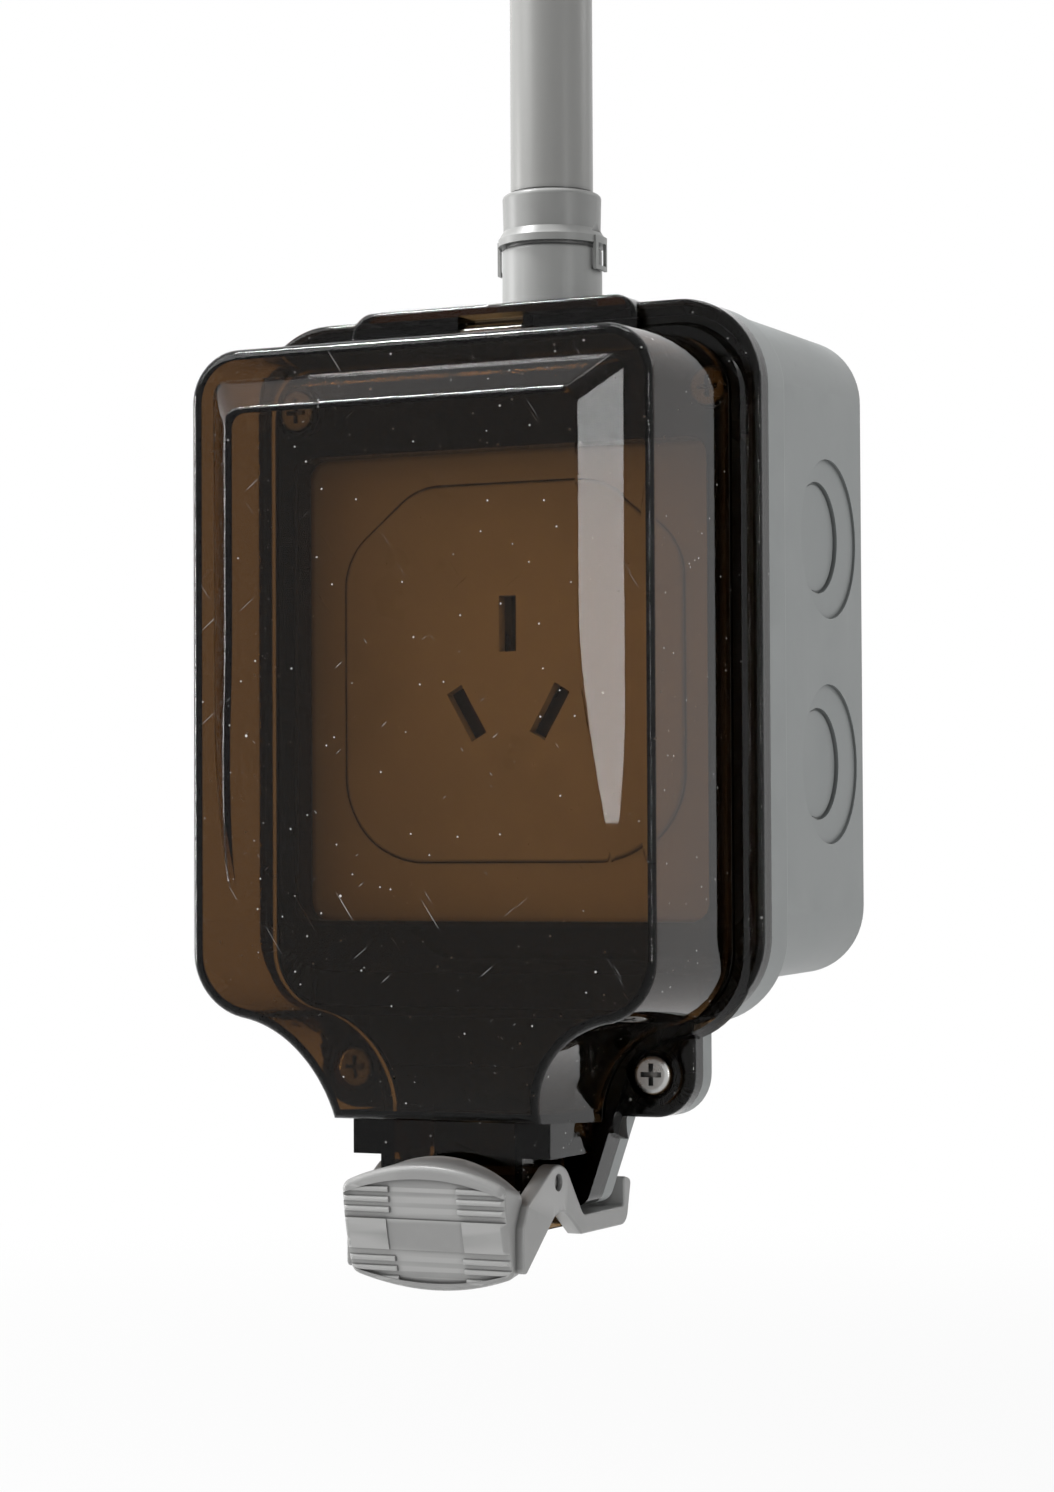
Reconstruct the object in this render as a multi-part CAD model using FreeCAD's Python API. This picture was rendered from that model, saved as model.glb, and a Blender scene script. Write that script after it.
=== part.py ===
"""Weatherproof power outlet: wall box, smoked cover frame and lid, rocker latch, socket and conduit.

Millimetres. X is to the right seen from the front, Y runs back to the wall, Z is up.
The origin is on the wall plane, in the middle of the wall screw pattern.
A depth is a distance from the wall towards the front, so depth d lies at Y = -d.
"""
import FreeCAD, Part
import math
import os

V = FreeCAD.Vector

# Distance within which two places count as the same
same_place = 0.02

# Socket plate, the size that the rest is built around
plate_size = 86.0
plate_half = plate_size / 2.0
plate_corner_r = 3.5
plate_inner_r = 1.5
plate_wall = 2.2
plate_skirt = 7.0
plate_edge_r = 0.8

# Wall box
box_side_room = 5.5
box_head_room = 23.0
box_foot_room = 9.5
box_draft = 1.0
box_half_width = plate_half + box_side_room
box_back_half_width = box_half_width - box_draft
box_top = plate_half + box_head_room
box_bottom = -plate_half - box_foot_room
box_corner_r = 12.5
box_depth = 53.4
box_wall = 2.2
box_back_wall = 2.6
box_back_edge_r = 1.2
flange_overhang = 1.7
flange_rise = 0.4
flange_drop = 7.4
flange_half_width = box_half_width + flange_overhang
flange_top = box_top + flange_rise
flange_bottom = box_bottom - flange_drop
flange_corner_r = 15.5
flange_thickness = 8.4
flange_edge_r = 1.2
wall_hole_spacing_x = 60.0
wall_hole_spacing_z = 80.0
wall_hole_r = 2.4
wall_boss_r = 5.5
wall_boss_height = 3.0
screw_rib_width = 1.6
screw_rib_height = 18.0
screw_rib_set_back = 16.0
knockout_depth = 18.8
knockout_heights = (26.8, -14.1)
knockout_outer_r = 14.5
knockout_inner_r = 10.1
knockout_shift = 4.0
knockout_outer_recess = 0.75
knockout_inner_recess = 1.35
knockout_groove_width = 0.5
knockout_groove_depth = 0.25

# Ears and neck below the flange, shared by the box and the cover frame
ear_inset = 13.0
ear_drop = 16.0
ear_half_width = flange_half_width - ear_inset
ear_bottom = flange_bottom - ear_drop
ear_corner_r = 7.5
ear_thickness = 3.8
ear_screw_edge_x = 7.7
ear_screw_edge_z = 7.5
ear_screw_x = ear_half_width - ear_screw_edge_x
ear_screw_z = ear_bottom + ear_screw_edge_z
ear_boss_r = 4.0
ear_boss_length = 8.0
ear_pad_inset = 2.7
ear_pad_height = 0.7
neck_drop = 15.7
neck_side_room = 3.5
neck_foot_room = 3.8
neck_bottom = ear_bottom - neck_drop
neck_corner_r = 3.0
catch_rib_reach = 7.0
catch_rib_height = 3.6

# Lid
lid_side_inset = 6.2
lid_top_inset = 8.0
lid_foot_rise = 0.7
lid_lobe_rise = 12.9
lid_half_width = flange_half_width - lid_side_inset
lid_top = box_top - lid_top_inset
lid_bottom = ear_bottom + lid_foot_rise
lid_lobe_centre_z = flange_bottom + lid_lobe_rise
lid_top_r = 9.0
lid_lobe_r = 11.4
lid_neck_half_width = 19.3
lid_cove_r = 18.7
lid_height = 30.1
lid_draft = 1.5
lid_wall = 1.8
lid_rim_r = 1.8
chin_rise = 1.0
chin_setback = 6.1
panel_side_inset = 4.8
panel_top_inset = 5.4
panel_half_width = lid_half_width - panel_side_inset
panel_top = lid_top - panel_top_inset
panel_height = 6.0
panel_bevel = 5.8
panel_corner_r = 2.6
panel_side_drop = 16.8
panel_side_r = 165.0
panel_fall_drop = 40.6
panel_fall_r = 170.0
panel_foot_r = 40.0
panel_edge_r = 0.7
panel_inner_inset = 0.75

# Cover frame
frame_plate = 4.0
frame_step = 2.0
frame_step_margin = 3.4
frame_flare = 1.2
window_side_lap = 3.0
window_end_lap = 1.0
window_half_width = plate_half - window_side_lap
window_half_height = plate_half - window_end_lap
window_corner_r = 3.5
screw_rim_r = 5.6
screw_rim_height = 1.0
screw_seat_r = 4.3
screw_seat_depth = 1.2
top_screw_inset = 10.2
top_screw_drop = 7.5
top_screw_x = flange_half_width - top_screw_inset
top_screw_z = lid_top - top_screw_drop
hump_half_width = 28.3
hump_rise = 1.2
hump_top = flange_top + hump_rise
hump_reach = 2.8
hump_corner_r = 4.5
frame_edge_r = 0.9
lid_gap = 0.6

# Seal between box and frame
gasket_width = 1.6
gasket_height = 1.6
gasket_inset = 0.9

# Seal between frame and lid
seal_width = 1.4
seal_height = 1.9
seal_gap = 0.3

# Lid hinge
hinge_reach = 0.8
hinge_drop = 5.6
hinge_pin_r = 1.1
hinge_pin_length = 18.0
knuckle_width = 12.0
knuckle_r = 2.2
knuckle_gap = 0.4
knuckle_arm = 2.1
riser_set_off = 0.4
riser_thickness = 1.1
hinge_slot_roof = 1.8
knuckle_arm_gap = 0.2
running_gap = 0.04
groove_gap = 0.02

# Latch carrier under the lid
carrier_half_width = 13.6
carrier_length = 17.0
carrier_drop = 3.4
carrier_wall = 2.0
lip_inset = 0.3
lip_height = 6.8
carrier_bottom = neck_bottom - carrier_drop
lip_half_width = lid_neck_half_width - lip_inset
lip_bottom = lid_bottom - lip_height
passage_half_width = carrier_half_width - carrier_wall
catch_rib_half_width = carrier_half_width
neck_top_half_width = lid_neck_half_width + neck_side_room
neck_bottom_half_width = carrier_half_width + neck_foot_room

# Latch
pivot_set_back = 7.4
pivot_rise = 8.5
latch_pin_r = 1.5
latch_pin_sink = 0.8
latch_arm = 2.8
latch_side_gap = 0.6
latch_ear_r = 5.6
latch_edge_r = 0.4
ear_apex_back = 1.5
ear_apex_rise = 4.7
notch_drop = 3.0
notch_reach = 0.5
arm_end_reach = 2.4
arm_shoulder_drop = 6.5
arm_shoulder_r = 2.0
arm_foot_drop = 15.4
arm_arch_back = 1.0
arm_arch_drop = 3.9
arm_arch_r = 5.5
arm_corner_r = 1.0
tray_gap = 1.4
tray_thickness = 3.3
tray_skin = 2.0
tray_start = 0.7
tray_clear = 2.1
tray_root_r = 2.5
hook_rise = 5.4
hook_thickness = 3.2
hook_gap = 0.4
hook_lead = 0.8
hook_rake = 2.0
hook_heel_r = 2.6
hook_tip_r = 0.8
pad_reach = 11.4
pad_thickness = 7.4
pad_side_inset = 1.5
pad_rise = 4.9
pad_height = 23.2
pad_crown_drop = 0.8
pad_front_r = 50.0
pad_front_drop = 1.1
pad_arch_front = 2.9
pad_arch_back = 6.2
pad_foot_front = 2.4
pad_foot_back = 3.3
pad_foot_lift = 0.6
pad_corner_r = 2.0
pad_edge_r = 1.1
pad_rim = 2.3
pad_relief = 0.6
pad_band_drop = 5.5
pad_band_height = 5.3
pad_band_recess = 0.25
pad_band_recess_half_width = 7.2
ridge_r = 0.55
ridge_length = 9.0
ridge_pitch = 1.75
ridge_start = 1.6
ridge_count = 3

# Cable seal in the passage
cable_slot_half_width = 4.6
cable_seal_rise = 6.6
cable_seal_foot = 3.0
cable_seal_gap = 0.4

# Socket insert and its pin slots
insert_side_inset = 9.8
insert_top_inset = 6.5
insert_bottom_inset = 11.3
insert_shoulder_drop = 12.5
insert_half_width = plate_half - insert_side_inset
insert_top = plate_half - insert_top_inset
insert_bottom = insert_bottom_inset - plate_half
insert_shoulder_z = insert_top - insert_shoulder_drop
insert_crown = 0.55
insert_shoulder_r = 12.0
insert_low_r = 16.0
insert_proud = 0.4
insert_wall = 2.4
insert_skirt = 1.6
insert_gap = 0.3
insert_edge_r = 0.6
slot_length = 10.0
slot_width = 3.4
slot_tilt = 30.0
earth_slot_z = 11.1
live_slot_x = 8.23
live_slot_z = -4.75

# Carrier plate
plate_set_back = 0.5
carrier_plate_drop = 8.9
carrier_plate_gap = 0.2
carrier_plate_thickness = 2.5
carrier_plate_corner_r = 1.2
carrier_screw_x = 30.15
carrier_screw_r = 1.75
carrier_boss_r = 4.0
carrier_head_r = 3.2
carrier_head_height = 1.8
pin_window_gap = 0.8
carrier_plate_half = plate_half - plate_wall - carrier_plate_gap

# Socket base
base_side_room = 3.97
base_head_room = 1.7
base_foot_room = 4.65
base_depth = 22.0
base_wall = 1.8
base_corner_r = 3.0
base_inner_r = 1.5
base_lug_r = 4.2
base_lug_thickness = 3.0
base_lug_offset = 3.6
base_screw_r = 1.4
base_head_r = 2.5
base_head_height = 1.6
wire_hole_r = 2.2
wire_hole_offset = 6.2

# Shutter
shutter_half_width = 14.6
shutter_top = 9.4
shutter_bottom = -11.4
shutter_thickness = 2.0
shutter_back_gap = 0.4
shutter_travel = 7.8
shutter_notch_half_width = 3.0
shutter_notch_z = 4.2
rail_width = 1.4
rail_gap = 0.35
rail_spare = 1.0
spring_r = 1.5
spring_wire_r = 0.25
spring_turns = 5
spring_foot_z = -25.0
spring_seat = 1.6
spring_foot_gap = 0.7
spring_foot_side = 1.2

# Contacts
leaf_thickness = 0.8
leaf_width = 7.0
leaf_gap = 1.5
leaf_length = 14.0
contact_foot = 1.2
contact_link_half_width = 1.5
terminal_size = 7.6
terminal_height = 8.0
terminal_screw_r = 1.6
terminal_head_r = 2.6
terminal_head_height = 2.2
terminal_rise = 8.6
terminal_spread = 7.2
terminal_drop = 10.0

# Screws
screw_r = 1.8
screw_head_r = 3.55
screw_head_height = 2.3
screw_head_round = 1.0
screw_head_sink = 0.4
screw_recess = 1.3
screw_recess_width = 0.9
screw_recess_reach = 1.95
screw_length = 12.0
screw_bite = 6.0
slot_head_width = 0.8
hole_gap = 0.25
pilot_gap = 0.02

# Conduit and its fitting
conduit_depth = 34.4
conduit_r = 7.6
conduit_wall = 1.3
conduit_length = 63.0
conduit_stand = 4.0
conduit_squeeze = 0.25
conduit_gap = 0.15
adaptor_wall = 1.6
adaptor_collar_height = 15.0
adaptor_collar_r = 9.2
adaptor_edge_r = 0.8
adaptor_height = 22.0
adaptor_neck_wall = 0.8
nut_gap = 0.4
nut_height = 9.6
nut_r = 9.1
nut_waist_r = 8.95
nut_lip_r = 9.9
nut_lip_height = 1.3
nut_lip_ease = 1.5
nut_round = 0.9
dimple_r = 6.5
dimple_depth = 0.55
dimple_low = 2.2
dimple_high = 8.6
eyelet_r = 10.3
eyelet_thickness = 0.6
eyelet_drop = 4.9
eyelet_half_width = 2.4
eyelet_frame = 0.8
locknut_r = 11.4
locknut_thickness = 3.6
thread_spare = 1.4
ring_r = 9.8
ring_thickness = 0.9
thread_gap = 0.1

# Socket base around its terminals
terminal_half = terminal_size / 2.0
base_half_width = live_slot_x + terminal_spread + terminal_half + base_side_room + base_wall
base_top = earth_slot_z + terminal_rise + terminal_half + base_head_room + base_wall
base_bottom = live_slot_z - terminal_drop - terminal_half - base_foot_room - base_wall

# Depths that follow from the sizes above
flange_back = box_depth - flange_thickness
neck_back = box_depth - ear_thickness
catch_face = neck_back - catch_rib_reach
hook_inner = catch_face - hook_gap
plate_front = box_depth - plate_set_back
insert_front = plate_front + insert_proud
carrier_plate_back = plate_front - carrier_plate_drop
carrier_plate_front = carrier_plate_back + carrier_plate_thickness
contact_floor = carrier_plate_back - base_depth + base_wall
shutter_back = carrier_plate_front + shutter_back_gap
spring_depth = carrier_plate_front + spring_foot_gap + spring_r
frame_back = box_depth
frame_face = frame_back + frame_plate
step_face = frame_face + frame_step
lid_back = step_face + lid_gap
lid_front = lid_back + lid_height
panel_front = lid_front + panel_height
seal_face = lid_back - seal_gap
seal_foot = seal_face - seal_height
hinge_depth = frame_face + hinge_reach
hump_front = frame_face + hump_reach
carrier_front = lid_back + carrier_length
pad_front = carrier_front + pad_reach
pad_back = pad_front - pad_thickness
latch_pivot_depth = carrier_front - pivot_set_back

# Heights that follow from the sizes above
chin_start_z = lid_lobe_centre_z - chin_rise
panel_fall_start_z = panel_top - panel_fall_drop
hinge_z = hump_top - hinge_drop
hood_low = lid_top + lid_draft + knuckle_gap
arm_low = hood_low + knuckle_arm_gap
hinge_slot_top = hump_top - hinge_slot_roof
latch_pivot_z = carrier_bottom + pivot_rise
pad_top = latch_pivot_z + pad_rise
pad_bottom = pad_top - pad_height
pad_crown_z = pad_top - pad_crown_drop
pad_band_top = latch_pivot_z - pad_band_drop
pad_band_bottom = pad_band_top - pad_band_height
tray_top = neck_bottom - tray_gap
tray_bottom = tray_top - tray_thickness
hook_top = tray_top + hook_rise
cable_seal_top = neck_bottom + cable_seal_rise

# Widths of the latch and radii and heights of the conduit's fitting
arm_inner = carrier_half_width + latch_side_gap
arm_outer = arm_inner + latch_arm
pad_half_width = arm_outer - pad_side_inset
conduit_bore_r = conduit_r - conduit_wall
conduit_seat_r = conduit_r - conduit_squeeze
conduit_start = box_top + conduit_stand
conduit_end = conduit_start + conduit_length
adaptor_thread_r = conduit_bore_r + adaptor_wall
adaptor_neck_r = conduit_r + adaptor_neck_wall
adaptor_collar_top = box_top + adaptor_collar_height
adaptor_top = box_top + adaptor_height
nut_bottom = adaptor_collar_top + nut_gap
nut_top = nut_bottom + nut_height


def at(x, depth, z):
    """Point at a distance from the wall."""
    return V(x, -depth, z)


def prism(face_wire, depth_a, depth_b):
    """Solid between two depths from a closed wire drawn in the XZ plane at Y = 0."""
    wire = face_wire.copy()
    wire.translate(V(0, -depth_a, 0))
    return Part.Face(wire).extrude(V(0, depth_a - depth_b, 0))


def block(x0, x1, depth_a, depth_b, z0, z1):
    """Plain block between two depths."""
    return Part.makeBox(x1 - x0, depth_b - depth_a, z1 - z0, V(x0, -depth_b, z0))


def rod(r, x, z, depth_a, depth_b):
    """Round bar along Y."""
    return Part.makeCylinder(r, depth_b - depth_a, at(x, depth_a, z), V(0, -1, 0))


def cross_rod(r, depth, z, x0, x1):
    """Round bar along X."""
    return Part.makeCylinder(r, x1 - x0, at(x0, depth, z), V(1, 0, 0))


def post(r, depth, z0, z1):
    """Round bar along Z in the middle plane."""
    return Part.makeCylinder(r, z1 - z0, at(0, depth, z0), V(0, 0, 1))


def rounded(points, radii):
    """Closed wire through (x, z) corners, each rounded by its radius."""
    count = len(points)
    corners = [V(x, 0, z) for x, z in points]
    starts = []
    ends = []
    middles = []
    for i, corner in enumerate(corners):
        before = (corners[i - 1] - corner).normalize()
        after = (corners[(i + 1) % count] - corner).normalize()
        half = before.getAngle(after) / 2.0
        r = radii[i]
        if r <= 0:
            starts.append(corner)
            ends.append(corner)
            middles.append(None)
            continue
        reach = r / math.tan(half)
        bisector = (before + after).normalize()
        centre = corner + bisector * (r / math.sin(half))
        starts.append(corner + before * reach)
        ends.append(corner + after * reach)
        middles.append(centre - bisector * r)
    edges = []
    for i in range(count):
        if middles[i] is not None:
            edges.append(Part.Arc(starts[i], middles[i], ends[i]).toShape())
        follow = starts[(i + 1) % count]
        if (follow - ends[i]).Length > same_place / 100:
            edges.append(Part.makeLine(ends[i], follow))
    return Part.Wire(edges)


def plate_outline(half_width, bottom, top, r_bottom, r_top):
    """Upright rectangle with rounded corners."""
    points = [(-half_width, bottom), (half_width, bottom), (half_width, top), (-half_width, top)]
    return rounded(points, [r_bottom, r_bottom, r_top, r_top])


def ruled(wire_a, depth_a, wire_b, depth_b):
    """Solid with straight sides between two matching outlines."""
    first = wire_a.copy()
    first.translate(V(0, -depth_a, 0))
    second = wire_b.copy()
    second.translate(V(0, -depth_b, 0))
    return Part.makeLoft([first, second], True, True)


def joined(solids):
    """One solid from touching or overlapping solids, with flush faces merged."""
    result = solids[0]
    for solid in solids[1:]:
        result = result.fuse(solid)
    return result.removeSplitter()


def softened(solid, edges, r):
    """Rounds the given edges."""
    return solid.makeFillet(r, edges)


def edges_at_depth(solid, depth):
    """Edges that lie wholly at one depth."""
    return [e for e in solid.Edges
            if abs(e.BoundBox.YMin + depth) < same_place and abs(e.BoundBox.YMax + depth) < same_place]


def edges_at_height(solid, z):
    """Edges that lie wholly at one height."""
    return [e for e in solid.Edges
            if abs(e.BoundBox.ZMin - z) < same_place and abs(e.BoundBox.ZMax - z) < same_place]


def mirrored(solid):
    """The same solid on the other side of the middle plane."""
    return solid.mirror(V(0, 0, 0), V(1, 0, 0))


def both_sides(solid):
    """A solid and its mirror image."""
    return [solid, mirrored(solid)]


def base_plan(grow=0.0):
    """Outline shared by the box flange and the cover frame: flange, ears and neck."""
    flange = plate_outline(flange_half_width + grow, flange_bottom - grow, flange_top + grow,
                           flange_corner_r + grow, flange_corner_r + grow)
    ears = plate_outline(ear_half_width + grow, ear_bottom - grow, 0, ear_corner_r + grow, 0)
    top = neck_top_half_width + grow
    low = neck_bottom_half_width + grow
    slope = (neck_top_half_width - neck_bottom_half_width) / (ear_bottom - neck_bottom)
    rise = (flange_bottom - ear_bottom) * slope
    neck = rounded([(-low, neck_bottom - grow), (low, neck_bottom - grow),
                    (top + rise, flange_bottom), (-top - rise, flange_bottom)],
                   [neck_corner_r, neck_corner_r, 0, 0])
    return flange, ears, neck


def base_prism(depth_a, depth_b, grow=0.0):
    """Flange, ears and neck as one solid between two depths."""
    return joined([prism(wire, depth_a, depth_b) for wire in base_plan(grow)])


def lid_outline(grow):
    """Front outline of the lid: round top corners, two lower lobes, coves and a neck."""
    half = lid_half_width + grow
    top = lid_top + grow
    bottom = lid_bottom - grow
    top_r = lid_top_r + grow
    lobe_r = lid_lobe_r + grow
    cove_r = lid_cove_r - grow
    lobe_x = lid_half_width - lid_lobe_r
    cove_x = lid_neck_half_width + lid_cove_r
    reach = lid_lobe_r + lid_cove_r
    cove_z = lid_lobe_centre_z - math.sqrt(reach ** 2 - (cove_x - lobe_x) ** 2)
    turn = math.atan2(cove_z - lid_lobe_centre_z, cove_x - lobe_x)
    meet = (lobe_x + lobe_r * math.cos(turn), lid_lobe_centre_z + lobe_r * math.sin(turn))
    lobe_mid = turn / 2.0
    cove_foot = max(bottom, cove_z - cove_r)
    end_angle = math.pi - math.asin((cove_foot - cove_z) / cove_r)
    start_angle = turn + math.pi
    cove_mid = (start_angle + end_angle) / 2.0
    end_x = cove_x + cove_r * math.cos(end_angle)

    def point(x, z):
        return V(x, 0, z)

    def ring(cx, cz, r, angle):
        return point(cx + r * math.cos(angle), cz + r * math.sin(angle))

    right = [Part.Arc(point(half - top_r, top), ring(half - top_r, top - top_r, top_r, math.pi / 4),
                      point(half, top - top_r)).toShape(),
             Part.makeLine(point(half, top - top_r), point(half, lid_lobe_centre_z)),
             Part.Arc(point(half, lid_lobe_centre_z), ring(lobe_x, lid_lobe_centre_z, lobe_r, lobe_mid),
                      point(*meet)).toShape(),
             Part.Arc(point(*meet), ring(cove_x, cove_z, cove_r, cove_mid),
                      point(end_x, cove_foot)).toShape()]
    if cove_foot > bottom:
        right.append(Part.makeLine(point(end_x, cove_foot), point(end_x, bottom)))
    left = [mirrored(edge) for edge in right]
    low = Part.makeLine(point(end_x, bottom), point(-end_x, bottom))
    high = Part.makeLine(point(half - top_r, top), point(-(half - top_r), top))
    return Part.Wire(Part.__sortEdges__(right + left + [low, high]))


def side_profile(points_edges, half_width):
    """Solid from edges drawn in the YZ plane, centred on the middle plane."""
    wire = Part.Wire(points_edges)
    wire.translate(V(-half_width, 0, 0))
    return Part.Face(wire).extrude(V(2 * half_width, 0, 0))


def yz(depth, z):
    """Point of a side profile."""
    return V(0, -depth, z)


def polyline(points):
    """Straight edges through (depth, z) points."""
    return [Part.makeLine(yz(*a), yz(*b)) for a, b in zip(points, points[1:])]


def lid_side_profile(inset):
    """Everything behind the lid's front surface, whose chin curves back towards the neck."""
    front = lid_front - inset
    fall = lid_bottom - chin_start_z
    chin_r = (fall ** 2 + chin_setback ** 2) / (2 * chin_setback)
    low_z = lid_bottom - 2 * lid_wall

    def chin(z):
        return front - chin_r + math.sqrt(chin_r ** 2 - (z - chin_start_z) ** 2)

    middle = (chin_start_z + lid_bottom) / 2.0
    arc = Part.Arc(yz(front, chin_start_z), yz(chin(middle), middle), yz(chin(low_z), low_z))
    back = 0.0
    high = lid_top + 3 * lid_wall
    edges = polyline([(back, low_z), (back, high), (front, high), (front, chin_start_z)])
    edges += [arc.toShape(), Part.makeLine(yz(chin(low_z), low_z), yz(back, low_z))]
    return side_profile(edges, lid_half_width + 3 * lid_wall)


def panel_outline(step, low):
    """Outline of the raised panel at one step of its bevel; its sides draw in towards the foot."""
    half = panel_half_width - step
    top = panel_top - step
    start = panel_fall_start_z - panel_side_drop
    corner_top = top - panel_corner_r
    corner_x = half - panel_corner_r
    slant = panel_corner_r * math.sqrt(0.5)

    def side(z):
        return V(half - panel_side_r + math.sqrt(panel_side_r ** 2 - (z - start) ** 2), 0, z)

    right = [Part.Arc(V(corner_x, 0, top), V(corner_x + slant, 0, corner_top + slant),
                      V(half, 0, corner_top)).toShape(),
             Part.makeLine(V(half, 0, corner_top), V(half, 0, start)),
             Part.Arc(V(half, 0, start), side((start + low) / 2.0), side(low)).toShape()]
    left = [mirrored(edge) for edge in right]
    ends = [Part.makeLine(V(corner_x, 0, top), V(-corner_x, 0, top)),
            Part.makeLine(side(low), V(-side(low).x, 0, low))]
    return Part.Wire(Part.__sortEdges__(right + left + ends))


def raised_panel(inset):
    """Bevelled centre panel, which falls back into the front face below."""
    shrink = panel_inner_inset if inset else 0.0
    front = panel_front - inset
    root = lid_front - inset
    foot = root - lid_wall
    per_depth = panel_bevel / panel_height
    turn = math.acos(1 - panel_height / (panel_fall_r + panel_foot_r))
    z1 = panel_fall_start_z - panel_fall_r * math.sin(turn)
    d1 = front - panel_fall_r * (1 - math.cos(turn))
    z2 = z1 - panel_foot_r * math.sin(turn)

    def outline(depth):
        return panel_outline((depth - root) * per_depth + shrink, z2 - lid_wall)

    tapered = ruled(outline(foot), foot, outline(front), front)
    mid = turn / 2
    mid_z = panel_fall_start_z - panel_fall_r * math.sin(mid)
    fall = Part.Arc(yz(front, panel_fall_start_z),
                    yz(front - panel_fall_r * (1 - math.cos(mid)), mid_z),
                    yz(d1, z1))
    ease = Part.Arc(yz(d1, z1),
                    yz(root + panel_foot_r * (1 - math.cos(mid)), z2 + panel_foot_r * math.sin(mid)),
                    yz(root, z2))
    top = panel_top + lid_wall
    edges = polyline([(foot, z2), (foot, top), (front, top), (front, panel_fall_start_z)])
    edges += [fall.toShape(), ease.toShape(), Part.makeLine(yz(root, z2), yz(foot, z2))]
    panel = tapered.common(side_profile(edges, panel_half_width + lid_wall))
    return panel


def lid_body():
    """Hollow lid with its raised panel."""
    outer = ruled(lid_outline(lid_draft), lid_back, lid_outline(0), lid_front).common(lid_side_profile(0))
    rim = [e for e in outer.Edges
           if e.BoundBox.YMax < -(lid_front - chin_setback - 1.0) and e.BoundBox.YMin < -lid_back - lid_wall]
    outer = softened(outer, rim, lid_rim_r)
    inner = ruled(lid_outline(lid_draft - lid_wall), lid_back,
                  lid_outline(-lid_wall), lid_front).common(lid_side_profile(lid_wall))
    panel = raised_panel(0)
    crest = edges_at_depth(panel, panel_front)
    crest = [e for e in crest if e.BoundBox.ZMax > panel_fall_start_z + 1.0]
    panel = softened(panel, crest, panel_edge_r)
    return outer.fuse(panel).cut(inner).cut(raised_panel(lid_wall)).removeSplitter()


def knuckle():
    """Hinge knuckle in the middle of the lid's top edge, on a short arm and riser."""
    half = knuckle_width / 2.0
    barrel = cross_rod(knuckle_r, hinge_depth, hinge_z, -half, half)
    back = lid_back + riser_set_off
    front = back + riser_thickness
    arm = block(-half, half, hinge_depth, front, arm_low, arm_low + knuckle_arm)
    riser = block(-half, half, back, front, lid_top - lid_wall / 2.0, arm_low + knuckle_arm)
    return joined([barrel, arm, riser])


def latch_carrier():
    """Open-backed channel under the lid that carries the latch and covers the cable."""
    top = lid_bottom + lid_wall / 2.0
    lower = block(-carrier_half_width, carrier_half_width, lid_back, carrier_front, carrier_bottom, top)
    lip = block(-lip_half_width, lip_half_width, lid_back, carrier_front, lip_bottom, top)
    bottom_corners = [e for e in edges_at_height(lower, carrier_bottom)
                      if e.Length > 2 * carrier_half_width - 1 and e.CenterOfMass.y < -lid_back - 1]
    lower = softened(lower, bottom_corners, carrier_wall)
    return joined([lower, lip])


def lid():
    """Smoked lid."""
    shell = joined([lid_body(), knuckle(), latch_carrier()])
    passage = block(-passage_half_width, passage_half_width, lid_back - 1, carrier_front - carrier_wall,
                    carrier_bottom - 1, lid_bottom + 2 * lid_wall)
    shell = shell.cut(passage)
    bore = cross_rod(hinge_pin_r + running_gap, hinge_depth, hinge_z, -knuckle_width, knuckle_width)
    shell = shell.cut(bore)
    for side in both_sides(cross_rod(latch_pin_r + pilot_gap, latch_pivot_depth, latch_pivot_z,
                                     0, carrier_half_width + 1)):
        shell = shell.cut(side)
    return shell


def neck_block():
    """Step of the cover frame that the lid's rear edge closes on."""
    neck = base_plan()[2]
    raised = prism(neck, frame_face - 1, step_face)
    flare_wire = lid_outline(frame_step_margin)
    body = prism(flare_wire, frame_face - 1, step_face)
    wide = lid_outline(frame_step_margin + frame_flare)
    flare = ruled(wide, frame_face - frame_plate / 4.0, flare_wire, step_face)
    return joined([body, flare, raised])


def hinge_hump():
    """Hood over the hinge pin."""
    hood = plate_outline(hump_half_width, hood_low, hump_top, 0, hump_corner_r)
    solid = prism(hood, frame_back, hump_front)
    front_edges = [e for e in edges_at_depth(solid, hump_front)
                   if e.BoundBox.ZMax > hood_low + frame_edge_r]
    return softened(solid, front_edges, frame_edge_r)


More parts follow.
